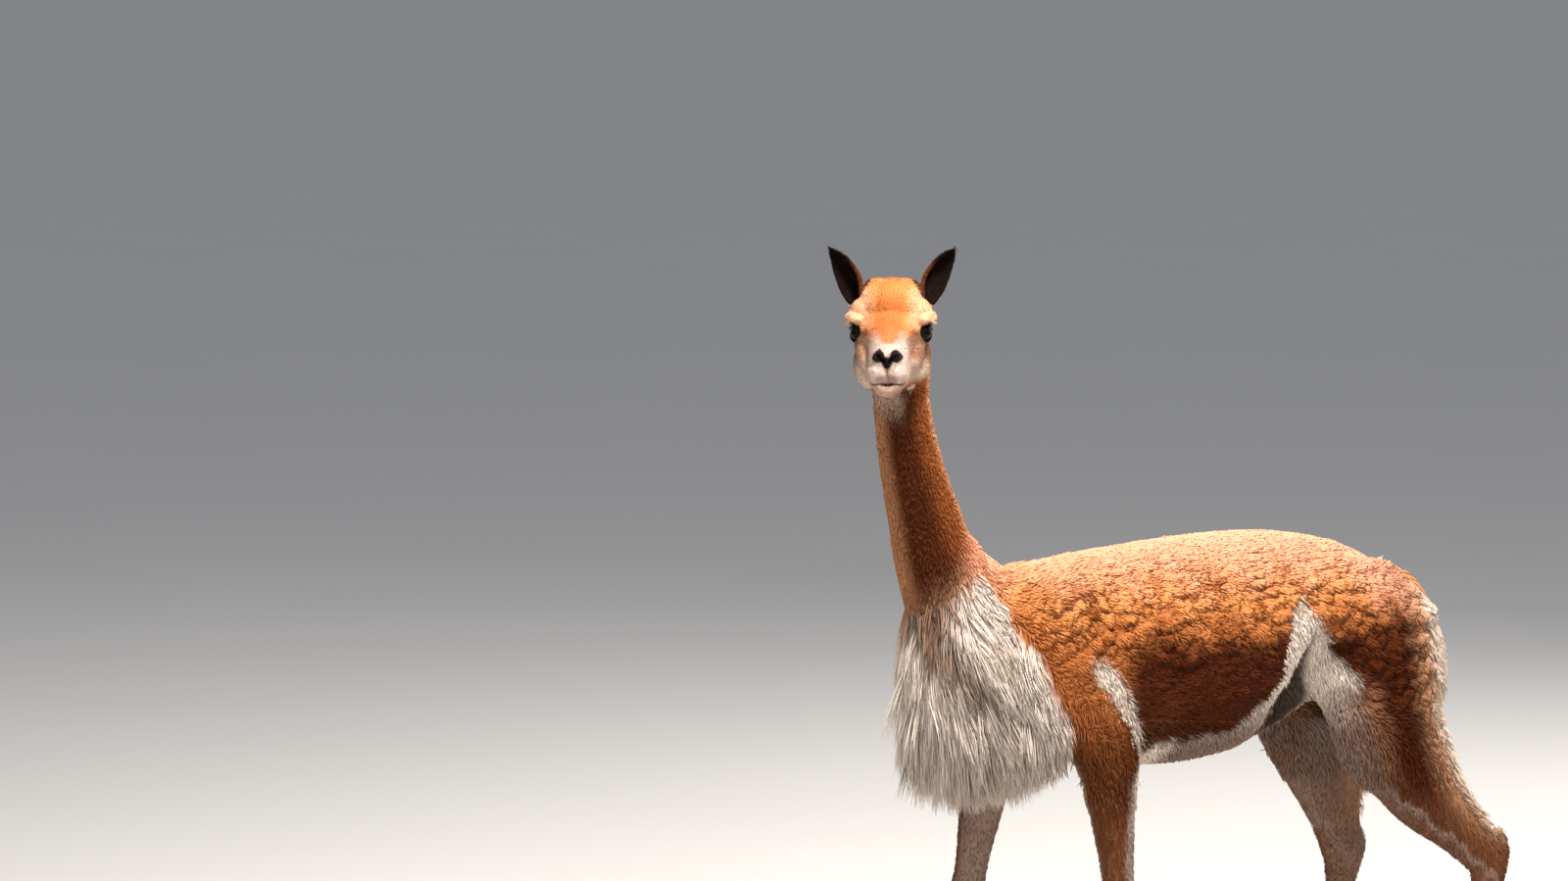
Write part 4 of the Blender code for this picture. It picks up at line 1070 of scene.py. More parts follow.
def face_colour(points):
    """The colours of the head and ears. Forwards is -Y here, and up is +Z."""
    local = in_head(points)
    x, y, z = local.T
    side, count = np.abs(x), len(x)
    forehead = ease(-0.004, 0.014, z + 0.25 * np.maximum(0, -y - 0.02))
    pale = ease(0.016, 0.042, side) * ease(0.0, 0.02, z) * fade(0.06, 0.08, z) * fade(0.01, 0.04, y)
    crown = ease(0.02, 0.06, y) * ease(-0.02, 0.03, z)
    shaded = ease(0.0, 0.02, x) * fade(0.035, 0.055, -z) * ease(-0.002, 0.012, -z)
    jaw = ease(0.03, 0.06, -z) * fade(0.0, 0.05, y)
    beside = fade(0.026, 0.038, side) * ease(0.04, 0.078, -y) * ease(-0.058, -0.04, z)
    half = 0.019 * (1 - 0.8 * ease(0.05, 0.118, -y))
    bridge = fade(-0.006, 0.007, side - half) * ease(0.018, 0.032, -y) * fade(0.098, 0.12, -y)
    bridge = bridge * ease(-0.036, -0.022, z)
    crease = segment_share(side, z, (0.0, 0.014), (0.026, 0.005), 0.0022, 0.0022) * (y < 0)
    half = 0.024 + 0.012 * ease(-0.03, -0.066, z)
    muzzle = ease(0.088, 0.108, -y) * ease(-0.078, -0.066, z) * fade(-0.003, 0.005, side - half)
    brow = segment_share(side, z, (0.064, 0.012), (0.056, 0.022), 0.0075, 0.0065) * fade(0.02, 0.045, y)
    corner = segment_share(side, z, (0.037, 0.0), (0.043, -0.001), 0.005, 0.0045) * ease(0.0, 0.015, -y)
    under = segment_share(side, z, (0.036, -0.02), (0.052, -0.017), 0.004, 0.004) * ease(-0.02, 0.01, -y)
    lip = fade(0.012, 0.02, side) * ease(0.116, 0.128, -y) * fade(-0.066, -0.058, z) * ease(-0.08, -0.072, z)
    chin = fade(-0.082, -0.078, z) * ease(0.06, 0.1, -y)
    off = np.abs(z + 0.0765 - 0.1 * np.maximum(0, 0.12 + y))
    mouth = fade(0.001, 0.0036, off) * ease(0.055, 0.09, -y) * fade(0.022, 0.034, side)
    slit = fade(0.0022, 0.0046, off) * fade(0.006, 0.013, side) * ease(0.11, 0.12, -y)
    lobe = segment_share(side, z, (0.0144, -0.0328), (0.013, -0.0342), 0.0097, 0.0011)
    arm = segment_share(side, z, (0.0075, -0.0365), (0.0004, -0.047), 0.0056, 0.0014)
    middle = segment_share(side, z, (0.0, -0.0395), (0.0, -0.047), 0.0048, 0.0014)
    nose = np.maximum(np.maximum(lobe, arm), middle) * ease(0.105, 0.115, -y)
    stem = fade(0.0006, 0.002, side) * ease(0.12, 0.13, -y) * ease(-0.066, -0.06, z) * fade(-0.05, -0.046, z)
    rims = []
    for one in SIDES.values():
        place, look = np.array(mirrored(EYE_PLACE, one)), np.array(mirrored(EYE_LOOK, one))
        before = (local - place) @ look
        aside = np.linalg.norm(local - place - before[:, None] * look, axis=1)
        rims.append((NOSE_BLACK, fade(0.014, 0.0172, aside) * ease(0.0, 0.006, before)))
    share, cupped, across = ear_shares(local)
    inner = fade(0.45, 0.75, share)
    ear_coat = layered(EAR_BROWN, count, (
        (EAR_RED, 0.9 * inner * ease(0.009, 0.014, -across)),
        (EAR_GREY, 0.8 * (np.exp(-((across + 0.0065) / 0.003) ** 2) * inner * (cupped > -0.004))),
    ))
    return layered(CHEEK, count, (
        (FOREHEAD, forehead),
        (FOREHEAD_PALE, 0.85 * pale),
        (NECK_BACK, crown),
        (CHEEK_SHADE, 0.8 * shaded),
        (JAW, jaw),
        (MUZZLE, 0.9 * beside),
        (BRIDGE, 0.95 * bridge),
        # Painted shade in the crease across the top of the bridge.
        (CREASE_SHADE_TAN, 0.55 * crease),
        (MUZZLE, muzzle),
        (BROW_CREAM, brow),
        # Painted shade at the inner corner of each eye.
        (CORNER_SHADE_BROWN, 0.7 * corner),
        (GREY_WOOL, 0.45 * under),
        # Painted shade on the upper lip under the nose.
        (LIP_SHADE_GREY, 0.75 * lip),
        (CHIN_TAN, 0.8 * chin),
        (MOUTH_GREY, 0.7 * mouth),
        (MOUTH_BROWN, 0.95 * slit),
        (NOSE_BLACK, np.maximum(nose, 0.7 * stem)),
        *rims,
        (NECK_BACK, ease(0.045, 0.075, y)),
        (ear_coat, ease(-0.08, -0.02, share) * (share > -0.5)),
    ))


# The dark hollow between the flank's fold and the thigh. Each row: a height, with its front and rear along Y
DARK_ROWS = (
    (0.42, 0.1, 0.233),
    (0.468, 0.09, 0.216),
    (0.505, 0.084, 0.206),
    (0.54, 0.09, 0.186),
    (0.575, 0.098, 0.168),
    (0.605, 0.114, 0.154),
    (0.655, 0.124, 0.146),
)
# The front edge of the thigh's white. Each row: a height, and the place along Y
THIGH_ROWS = ((0.4, 0.31), (0.46, 0.268), (0.525, 0.247), (0.565, 0.232), (0.6, 0.212), (0.65, 0.176))


def hollow_share(points):
    """1 in the dark hollow between the flank's fold and the thigh."""
    x, y, z = points.T
    ahead = y + hind_shift(points)
    front, rear = edges_at(DARK_ROWS, z)
    share = ease(-0.006, 0.012, ahead - front) * ease(-0.004, 0.012, rear - ahead)
    return share * ease(0.03, 0.06, np.abs(x)) * fade(0.66, 0.685, z) * ease(0.4, 0.47, z)


def neck_colour(points, normals):
    """The neck's coat: pale in front, dark brown down its sides by painted shade, red-brown behind with painted
    rim light on its rear edge, and pale again under the jaw.
    """
    over_bib = points[:, 2] - bib_top(points)
    aspect = breadthways(normals)
    under_jaw = ease(-0.055, 0.0, height_over(NECK_TOP, points)) * fade(-0.1, 0.4, aspect)
    under_jaw = under_jaw * ease(-0.5, 0.1, normals[:, 0])
    return layered(NECK_FRONT, len(points), (
        # Painted shade down the neck's sides.
        (SHADED_NECK_SIDE, ease(-0.8, -0.3, aspect)),
        (NECK_BACK, ease(0.2, 0.75, aspect)),
        # Painted rim light on the neck's rear edge.
        (NECK_RIM_LIGHT, ease(0.8, 0.98, aspect)),
        (NECK_TAN, 0.7 * fade(0.0, 0.06, over_bib)),
        (NECK_TAN, 0.8 * under_jaw),
        (JAW, 0.8 * under_jaw**2),
    ))


def coat_colour(points, normals):
    """The colour of the coat at each place."""
    x, y, z = points.T
    side = np.abs(x)
    uneven = 0.007 * np.sin(60 * y) + 0.006 * np.sin(131 * y + 90 * z)
    white = white_share(points)
    lower = fade(0.34, 0.46, z)
    beyond = y + hind_shift(points) - along_rows(z, THIGH_ROWS)
    thigh = fade(0.0, 0.04, beyond) * ease(-0.055, 0.0, beyond) * ease(0.4, 0.46, z)
    inner = ease(0.0, 0.5, -normals[:, 0] * np.sign(x)) * fade(0.46, 0.54, z)
    behind_knee = ease(0.3, 0.8, normals[:, 1]) * lower * (y < 0)
    cream = rump_edge(points) * ease(0.3, 0.42, z)
    tail = (side < 0.05) * ease(0.36, 0.375, y) * ease(0.54, 0.56, z)
    bib = bib_share(points)
    neck_shadowed = bib * neck_shadow_band(points)
    behind_neck = ease(-0.455, -0.405, y - 0.4 * (z - 0.8))
    on_neck = ease(-0.016, 0.016, z - bib_top(points)) * (1 - behind_neck) * (y < -0.3)
    past_neck = height_over(NECK_TOP, points) - 0.024 * ease(0.0, 0.4, breadthways(normals))
    return layered(FLEECE, len(x), (
        # Painted highlight high on the back and croup.
        (SUNLIT_BACK_FLEECE, ease(0.715, 0.815, z + uneven + 0.11 * ease(0.18, 0.34, y))),
        # Darker down the flank and on the haunch, partly by painted shade.
        (SHADED_FLANK_FLEECE, 0.7 * fade(0.66, 0.75, z + uneven)),
        (SHADED_DEEP_FLEECE, fade(0.645, 0.7, z + uneven) * ease(-0.225, -0.18, y)),
        (SHADED_DEEP_FLEECE, 0.92 * (ease(0.18, 0.25, y) * fade(0.65, 0.755, z + uneven))),
        # Painted shade on the low shoulders and the legs, over their own tan.
        (SHADED_LEG_BROWN, 0.85 * (fade(-0.13, -0.09, y) * fade(0.48, 0.63, z + uneven))),
        (SHADED_LEG_TAN, lower),
        (WHITE_WOOL, white),
        (THIGH_TAN, 0.85 * thigh * fade(0.57, 0.61, z) * (y > 0.12)),
        # Painted shade on the white low down, on the inner faces of the legs, in the hollow and behind the
        # knees.
        (SHADED_UNDER_BROWN, white * (0.85 * fade(0.51, 0.61, z) * ease(-0.13, -0.08, y))),
        (SHADED_LEG_TAN, 0.8 * white * fade(0.34, 0.48, z)),
        (SHADED_LEG_CREAM, 0.5 * inner),
        (SHADE_BROWN, 0.92 * hollow_share(points)),
        (SHADED_LEG_CREAM, 0.5 * behind_knee),
        (RIM_TAN, 0.8 * (ease(-0.07, -0.01, rump_rim(points)) * ease(0.3, 0.42, z))),
        (EDGE_CREAM, cream * (0.95 - 0.35 * ease(0.7, 0.8, z))),
        (FLEECE, tail * (1 - 0.5 * ease(0.012, 0.022, side))),
        (WHITE_WOOL, bib),
        # Painted shadow of the head and neck down the bib's front, greyer below and tan above.
        (GREY_WOOL, 0.9 * neck_shadowed),
        (NECK_TAN, 0.75 * neck_shadowed * ease(0.665, 0.725, z)),
        (GREY_WOOL, bib * 0.3 * fade(0.5, 0.6, z)),
        (TOE_BROWN, fade(0.02, 0.06, z)),
        (EAR_BROWN, fade(0.001, 0.004, z)),
        (neck_colour(points, normals), on_neck),
        (face_colour(points), ease(-0.006, 0.014, past_neck) * (z > 1.0)),
    ))


def mark(obj, colours):
    """Stores one colour for each point of the mesh, for its material to read."""
    layer = obj.data.color_attributes.new("coat", "FLOAT_COLOR", "POINT")
    layer.data.foreach_set("color", np.hstack([colours, np.ones((len(colours), 1))]).ravel())


class Field:
    """A value that varies over a surface, so that shader sums can be written as plain expressions."""

    def __init__(self, finish, socket):
        self.finish, self.socket = finish, socket

    def sum_with(self, operation, first, second):
        return self.finish.node("ShaderNodeMath", {"operation": operation}, [first, second])

    def __add__(self, other):
        return self.sum_with("ADD", self, other)

    def __radd__(self, other):
        return self.sum_with("ADD", other, self)

    def __sub__(self, other):
        return self.sum_with("SUBTRACT", self, other)

    def __rsub__(self, other):
        return self.sum_with("SUBTRACT", other, self)

    def __mul__(self, other):
        return self.sum_with("MULTIPLY", self, other)

    def __rmul__(self, other):
        return self.sum_with("MULTIPLY", other, self)


class Finish:
    """A material: its shader, and the nodes that feed it."""

    def __init__(self, name, **plain):
        self.material = bpy.data.materials.new(name)
        self.material.use_nodes = True
        self.tree = self.material.node_tree
        self.shader = self.tree.nodes["Principled BSDF"]
        for socket, value in plain.items():
            self.shader.inputs[socket.replace("_", " ").title().replace("Ior", "IOR")].default_value = value

    def node(self, kind, settings=None, values=(), out=0):
        made = self.tree.nodes.new(kind)
        for name, value in (settings or {}).items():
            setattr(made, name, value)
        pairs = values.items() if isinstance(values, dict) else enumerate(values)
        for name, value in pairs:
            self.feed(made.inputs[name], value)
        return Field(self, made.outputs[out])

    def feed(self, socket, value):
        if isinstance(value, Field):
            self.tree.links.new(value.socket, socket)
        else:
            socket.default_value = value

    def mix(self, share, first, second):
        return self.node("ShaderNodeMix", {"data_type": "RGBA"}, {0: share, 6: first, 7: second}, 2)

    def noise(self, scale, detail=2.0):
        place = self.node("ShaderNodeTexCoord", out=3)
        return self.node("ShaderNodeTexNoise", None, {"Vector": place, "Scale": scale, "Detail": detail})

    def scaled(self, colour, by):
        return self.node("ShaderNodeVectorMath", {"operation": "SCALE"}, {0: colour, "Scale": by})

    def stored(self):
        """The colour that mark stored on the mesh."""
        return self.node("ShaderNodeAttribute", {"attribute_name": "coat"})

    def shade(self, socket, value):
        self.feed(self.shader.inputs[socket], value)

    def bumped(self, height, distance):
        values = {"Height": height, "Distance": distance, "Strength": 1}
        self.shade("Normal", self.node("ShaderNodeBump", None, values))


def coat_finish(name, mottle, fine, bump):
    """Hair: the stored colour, mottled coarsely and finely, and rough."""
    finish = Finish(name, roughness=0.85, sheen_weight=0.02, sheen_roughness=0.45, specular_ior_level=0.04)
    light = (1 - mottle / 2 - fine / 2) + mottle * finish.noise(42, 3) + fine * finish.noise(420, 2)
    finish.shade("Base Color", finish.scaled(finish.stored(), light))
    finish.shade("Roughness", 0.74 + 0.16 * finish.noise(160, 2))
    finish.bumped(finish.noise(900, 2), bump)
    return finish.material


# Painted shade on the hide deep in the gaps between clumps.
hide_gap_shade = np.zeros(len(skin_points))
hide_gap_shade[wool_places] = gap * woolly
skin_colours = coat_colour(skin_points, skin_normals) * (1 + (HIDE_GAP_SHADE_TINT - 1) * hide_gap_shade[:, None])
# Painted shade: the hide is darker under the coat, less so on the head and the lower legs.
deep = 0.8 + 0.2 * ease(0.0, 0.03, height_over(NECK_TOP, skin_points)) * (skin_points[:, 2] > 1.0)
deep = np.maximum(deep, 0.8 + 0.15 * fade(0.3, 0.48, skin_points[:, 2]))
mark(skin, skin_colours * deep[:, None])
skin.name = "skin"
skin.data.materials.clear()
skin.data.materials.append(coat_finish("hide_and_down", mottle=0.3, fine=0.3, bump=0.0012))
skin.data.shade_smooth()
skin.data.transform(Matrix.Translation(PLACE))
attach(skin, "root")
flesh = [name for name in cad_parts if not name.startswith(("eye", "nail"))]
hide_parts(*flesh)

# ---------------------------------------------------------------------------------------------
# The eyes: large and almost black, moist, with a dark brown ring round a wide level pupil.
# Each is a clear-fronted ball that sits in its socket behind the lids.
CORNEA = 0.68  # the share of the ball's radius that the cornea takes up
CORNEA_RISE = 0.0016
IRIS = 0.6
PUPIL_HALF_WIDTH = 0.0072
PUPIL_HALF_HEIGHT = 0.0042
IRIS_BROWN = linear(26, 14, 8)
RIM_BLACK = linear(16, 10, 8)
PUPIL_BLACK = linear(6, 4, 4)


def eye(name, side):
    """A ball with a slightly raised cornea on the way it looks."""
    bm = bmesh.new()
    bmesh.ops.create_uvsphere(bm, u_segments=56, v_segments=40, radius=EYE_RADIUS - 0.0001)
    for vert in bm.verts:
        aside = math.hypot(vert.co.x, vert.co.y) / EYE_RADIUS
        if vert.co.z > 0 and aside < CORNEA:
            vert.co.z += CORNEA_RISE * (1 - (aside / CORNEA) ** 2) ** 1.5
    look = mirrored(EYE_LOOK, side)
    turn = look.to_track_quat("Z", "Y").to_matrix().to_4x4()
    place = Matrix.Translation(PLACE) @ head_frame() @ Matrix.Translation(mirrored(EYE_PLACE, side)) @ turn
    layer = bm.verts.layers.float_color.new("coat")
    for vert in bm.verts:
        across = math.hypot(vert.co.x, vert.co.y) / EYE_RADIUS
        pupil = math.hypot(vert.co.x / PUPIL_HALF_WIDTH, vert.co.y / PUPIL_HALF_HEIGHT)
        ring = math.atan2(vert.co.y, vert.co.x)
        iris = IRIS_BROWN * (0.8 + 0.2 * math.sin(ring * 40) * math.cos(ring * 23))
        colour = iris if across < IRIS else RIM_BLACK
        colour = PUPIL_BLACK if pupil < 1 or vert.co.z < 0 else colour
        vert[layer] = (*colour, 1)
    bm.transform(place)
    obj = object_from(name + "_ball", bm)
    obj.data.shade_smooth()
    finish = Finish("moist_eye", roughness=0.14, coat_weight=0.02, coat_roughness=0.03, specular_ior_level=0.08)
    finish.shade("Base Color", finish.scaled(finish.stored(), 0.85 + 0.3 * finish.noise(300, 2)))
    obj.data.materials.append(finish.material)
    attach(obj, "root")
    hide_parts(name)


for where, side in SIDES.items():
    eye("eye_" + where, side)

# ---------------------------------------------------------------------------------------------
# The nails: one curved, ridged horn nail at the front of each toe, dark and a little worn.
# It grows over the end of the toe, above the soft pad, and is a piece of its own here.
HORN_DARK = (0.02, 0.015, 0.012, 1)
HORN_PALE = (0.06, 0.045, 0.036, 1)


def nail(name, side, toe, fetlock_y):
    x = side * LEG_SPREAD + toe * TOE_SPREAD
    y = fetlock_y - TOE_REACH - TOE_RADII[1]
    stations = ((x, y + 0.024, 0.02, 0.0068, 0.0072), (x, y + 0.006, 0.017, 0.0072, 0.0085),
                (x, y - 0.006, 0.0115, 0.0056, 0.0066), (x, y - 0.013, 0.006, 0.0022, 0.003))
    obj = tube(name + "_horn", stations, 5, 28)
    obj.data.transform(Matrix.Translation(PLACE))
    obj.data.shade_smooth()
    finish = Finish("horn", roughness=0.4, specular_ior_level=0.5)
    place = finish.node("ShaderNodeTexCoord", out=3)
    streaks = finish.node("ShaderNodeTexWave", {"wave_type": "BANDS", "bands_direction": "Z"},
                          {"Vector": place, "Scale": 260, "Distortion": 3.0, "Detail": 2.0}, 1)
    finish.shade("Base Color", finish.mix(streaks, HORN_DARK, HORN_PALE))
    finish.shade("Roughness", 0.36 + 0.25 * finish.noise(500, 2))
    finish.bumped(streaks, 0.0003)
    obj.data.materials.append(finish.material)
    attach(obj, "root")
    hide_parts(name)


for pair, joints in (("fore", FORE_JOINTS), ("hind", HIND_JOINTS)):
    for where, side in SIDES.items():
        for toe, place in ((-side, "inner"), (side, "outer")):
            nail(f"nail_{pair}_{where}_{place}", side, toe, joints[where]["fetlock"][0])

# ---------------------------------------------------------------------------------------------
# The fleece: dense, fine wool in curly clumps a thumb wide, which lie back along the body and down its
# sides. Each clump is a group of short bent locks, whose tips draw together over gaps darkened by painted
# shade.
FLEECE_SPACING = 0.0031
FLEECE_LENGTH = 0.0195
FLEECE_WIDTH = 0.0033
FLEECE_THICKNESS = 0.001
FLEECE_LIFT = 0.0028  # how far a lock stands off the hide, then how much more on a crown, and less in a gap
CROWN_LIFT = 0.004
GAP_DROP = 0.0012
GATHER = 0.3  # how far the locks draw together towards the line down the middle of their clump
WISP_SHARE = 0.07  # the share of locks that stand off as thin wisps
LOCK_PROFILE = np.array((0.8, 1.0, 0))  # a short lock's width from its root to its tip
# Darker at the root, as painted shade deep in the coat.
LOCK_SHADES = np.array((0.86, 0.97, 1.04))  # and how light it is
# What the wool's own colour is multiplied by: deep in a gap between clumps, painted shade over the inner wool's
# deeper colour, and on a clump's crown, a painted highlight
GAP_SHADE_TINT = np.array((0.4, 0.24, 0.12))
CROWN_HIGHLIGHT_TINT = np.array((1.06, 1.14, 1.26))


def around(a, b):
    """The share of a turn round from -b to the direction (a, b)."""
    return np.arctan2(a, b) / math.tau + 0.5


def unwrap(points):
    """The place of each root on a flat layout, where every part of the skin has an area of its own."""
    x, y, z = points.T
    local = in_head(points)
    share, cupped, across = ear_shares(local)
    leg = 2 * (y > 0.1) + (x > 0)
    middle = np.where(y > 0.1, 0.4 - 0.1 * (x < 0), -0.25 - 0.08 * (x < 0))
    trunk_spots = 0.01 + 0.46 * around(x, z - 0.63), 0.01 + 0.6 * (y + 0.52) / 1.05
    neck_spots = 0.49 + 0.22 * around(x - 0.006, -(y + 0.5)), 0.01 + 0.34 * (z - 0.78) / 0.34
    left, back, up = local.T
    head_spots = 0.49 + 0.24 * around(left, up + 0.03), 0.38 + 0.26 * (back + 0.16) / 0.28
    ear_spots = np.where(x > 0.04, 0.8, 0.9) + 1.6 * across, 0.38 + 0.14 * share + 0.1 * (cupped > 0)
    tail_spots = 0.75 + 0.2 * around(x, y - 0.4), 0.7 + 0.25 * (z - 0.5) / 0.3
    leg_spots = 0.01 + 0.17 * leg + 0.15 * around(np.abs(x) - LEG_SPREAD, y - middle), 0.64 + 0.34 * z / 0.5
    spots = np.array(trunk_spots)
    for there, area in (
        (height_over(NECK_FOOT, points) > 0, neck_spots),
        ((height_over(NECK_TOP, points) > 0) & (z > 1.0), head_spots),
        (share > 0.1, ear_spots),
        ((np.abs(x) < 0.045) & (y > 0.375) & (z > 0.5), tail_spots),
        (z < LEG_CUT + 0.03, leg_spots),
    ):
        spots = np.where(there, area, spots)
    return spots.T


def strands(name, paths, outs, widths, thickness, colours, shades, finish):
    """One mesh of closed, tapered locks, which run along their paths, have three sides and end in a point."""
    count, steps = paths.shape[:2]
    tangents = unit(np.gradient(paths, axis=1))
    across = unit(np.cross(tangents, outs[:, None, :] if outs.ndim == 2 else outs))
    rise = np.cross(across, tangents)
    half = widths[:, :, None] / 2
    ridge = paths + rise * thickness[:, :, None]
    rings = np.stack([paths - across * half, paths + across * half, ridge], axis=2)
    body = rings[:, :-1].reshape(count, -1, 3)
    points = np.concatenate([body, paths[:, -1:]], axis=1)
    faces = [(0, 1, 2)]
    for i in range(steps - 2):
        for k in range(3):
            a, b = 3 * i + k, 3 * i + (k + 1) % 3
            faces += [(a, a + 3, b), (b, a + 3, b + 3)]
    last = 3 * (steps - 2)
    faces += [(last + k, last + 3, last + (k + 1) % 3) for k in range(3)]
    faces = np.array(faces)
    volume = np.linalg.det(points[0][faces] - points[0].mean(axis=0)).sum()
    faces = faces[:, ::-1] if volume < 0 else faces
    per = points.shape[1]
    corners = (faces[None] + per * np.arange(count)[:, None, None]).reshape(-1)
    mesh = bpy.data.meshes.new(name)
    mesh.vertices.add(count * per)
    mesh.vertices.foreach_set("co", (points + np.array(PLACE)).ravel())
    mesh.loops.add(len(corners))
    mesh.loops.foreach_set("vertex_index", corners)
    mesh.polygons.add(len(corners) // 3)
    mesh.polygons.foreach_set("loop_start", np.arange(0, len(corners), 3))
    mesh.update(calc_edges=True)
    mesh.shade_smooth()
    obj = bpy.data.objects.new(name, mesh)
    bpy.context.scene.collection.objects.link(obj)
    along = np.repeat(np.linspace(0, 1, steps)[:-1], 3).tolist() + [1.0]
    sideways = [-0.5, 0.5, 0.0] * (steps - 1) + [0.0]
    shade = np.concatenate([np.repeat(shades[:, :-1], 3, axis=1), shades[:, -1:]], axis=1)
    mark(obj, (colours[:, None, :] * shade[:, :, None]).reshape(-1, 3))
    patch = np.stack([sideways, np.array(along) - 0.5], axis=1) * 0.003
    spots = (unwrap(paths[:, 0])[:, None, :] + patch[None]).reshape(-1, 2)
    mesh.uv_layers.new(name="OFBake").data.foreach_set("uv", spots[corners].ravel())
    mesh.materials.append(finish)
    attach(obj, "root")
    return obj


def bent(points, normals, lie, length, lift, over, curl, sink, steps, gather=None):
    """Paths of short locks, which leave the hide, run along the lie and bend back by over.

    They swing sideways by curl, are rooted sink deep, and draw together by gather.
    """
    t = np.linspace(0, 1, steps)[None, :, None]
    side = np.cross(normals, lie)[:, None, :]
    phase = rng.uniform(0, math.tau, (len(points), 1, 1))
    turns = rng.uniform(0.5, 0.9, (len(points), 1, 1))
    height = lift[:, None, None] * np.sin(math.pi * over * t) - sink * (1 - t)
    paths = points[:, None, :] + lie[:, None, :] * length[:, None, None] * t + normals[:, None, :] * height
    paths = paths + side * curl * (np.sin(math.tau * turns * t + phase) - np.sin(phase)) * t
    if gather is not None:
        paths = paths + gather[:, None, :] * t**1.5
    return paths


def vary(count, low, high):
    return rng.uniform(low, high, count)


fleece_finish = coat_finish("fleece_wool", mottle=0.14, fine=0.14, bump=0.0005)


def fleece_part(name, share_at):
    """Short bent locks, which draw together towards the middle of their clump."""
    points, normals = scattered(share_at, FLEECE_SPACING)
    lie = lie_of(points, normals, 0.13)
    near, rim, along, gap = clump_fit(points, lie)
    count = len(points)
    strength = relief(points)
    own = clump_size[near]
    side = np.cross(normals, lie)
    off = ((clump_points[near] - points) * side).sum(axis=1)
    gather = side * (off * GATHER * strength * own)[:, None]
    free = FLEECE_LENGTH * vary(count, 0.75, 1.25)
    left = (0.66 - along) * CLUMP_SPACING + 0.005
    length = free * (1 - strength) + np.clip(left, 0.45 * free, 1.05 * free) * strength
    crown = (1 - rim**1.5) * (0.5 + 0.5 * ease(-0.5, 0.5, along))
    stands = FLEECE_LIFT + CROWN_LIFT * own * crown * strength - GAP_DROP * gap * strength
    wisp = rng.random(count) < WISP_SHARE
    lift = stands * vary(count, 0.86, 1.14) * np.where(wisp, 1.3, 1.0)
    paths = bent(points, normals, lie, length, lift, 0.78, curl=0.0022, sink=0.0012, steps=3, gather=gather)
    width = FLEECE_WIDTH * (vary(count, 0.7, 1.3) * np.where(wisp, 0.55, 1.0))[:, None] * LOCK_PROFILE
    thick = FLEECE_THICKNESS * vary(count, 0.8, 1.2)[:, None] * LOCK_PROFILE
    # Painted highlight on the crowns and the crests of the waves, and painted shade in the troughs.
    tone = vary(count, 0.95, 1.05) * (0.92 + strength * (0.06 * waves(points) + 0.14 * crown - 0.05))
    shades = tone[:, None] * LOCK_SHADES
    shown = strength**0.7
    # Painted shade in the gaps and painted highlight on the crowns.
    colours = coat_colour(points, normals) * (1 + (GAP_SHADE_TINT - 1) * (gap * shown)[:, None])
    colours = colours * (1 + (CROWN_HIGHLIGHT_TINT - 1) * (crown * shown)[:, None])
    return strands(name, paths, normals, width, thick, colours, shades, fleece_finish)


def fleece_between(front, rear):
    return lambda points: fleece_share(points) * (points[:, 1] >= front) * (points[:, 1] < rear)


for name, front, rear in (
    ("shoulder_wool", -0.6, -0.2),
    ("barrel_wool", -0.2, -0.03),
    ("loin_wool", -0.03, 0.12),
    ("rump_wool", 0.12, 0.25),
    ("haunch_wool", 0.25, 0.62),
):
    fleece_part(name, fleece_between(front, rear))

# ---------------------------------------------------------------------------------------------
# The bib: long white hair that hangs in fine pointed locks down the chest, over gaps darkened by painted shade
# at the roots.
# It grows from the hide of the breast and the neck's foot, and its ends hang free below the chest.
BIB_LENGTH = 0.105
BUNDLE = 3.2  # how many spacings of the locks lie between the bundles
DRAW = 0.42  # how far a bundle's tips draw together
FREE_LEAN = 0.15  # a lock leaves the hide where its course leans out of it by more than this
# Along a long lock, from its root to its tip: its width, and how light it is, darker at the root by painted
# shade
LONG_PROFILE = (0.7, 1.0, 1.0, 0.8, 0.5, 0)
LONG_SHADES = (0.64, 0.8, 0.9, 0.96, 1.0, 1.03)


def draped(points, normals, fall, length, lift, steps, hangs):
    """Paths of long locks, which follow the hide down, stand a little off it, and hang free below it."""
    paths, outs = [], []
    for i in range(len(points)):
        spot, normal = Vector(points[i]), Vector(normals[i])
        path, out, free = [], [], False
        course, step = Vector(fall[i]).normalized(), length[i] / (steps - 1)
        for k in range(steps):
            t = k / (steps - 1)
            path.append(spot + normal * (lift[i] * math.sin(t * math.pi / 2) - 0.002 * (1 - t)))
            out.append(normal.copy())
            free = free or (hangs and course.dot(normal) > FREE_LEAN)
            if free:
                spot = spot + course * step
                continue
            tangent = (course - normal * course.dot(normal)).normalized()
            found, turned, _, _ = skin_tree.find_nearest(spot + tangent * step)
            if (found - spot).length < 0.3 * step:
                found = spot + tangent * step
            spot = found
            normal = (normal * 0.5 + turned * 0.5).normalized()
        paths.append(path)
        outs.append(out)
    return np.array(paths), np.array(outs)


long_finish = coat_finish("long_wool", mottle=0.14, fine=0.22, bump=0.0006)


def all_over(length):
    return lambda points: length + 0 * points[:, 2]


def falling(back):
    """A fall that leans to the rear by back for each unit down."""
    return lambda points: np.tile(np.array((0, back, -1.0)), (len(points), 1))


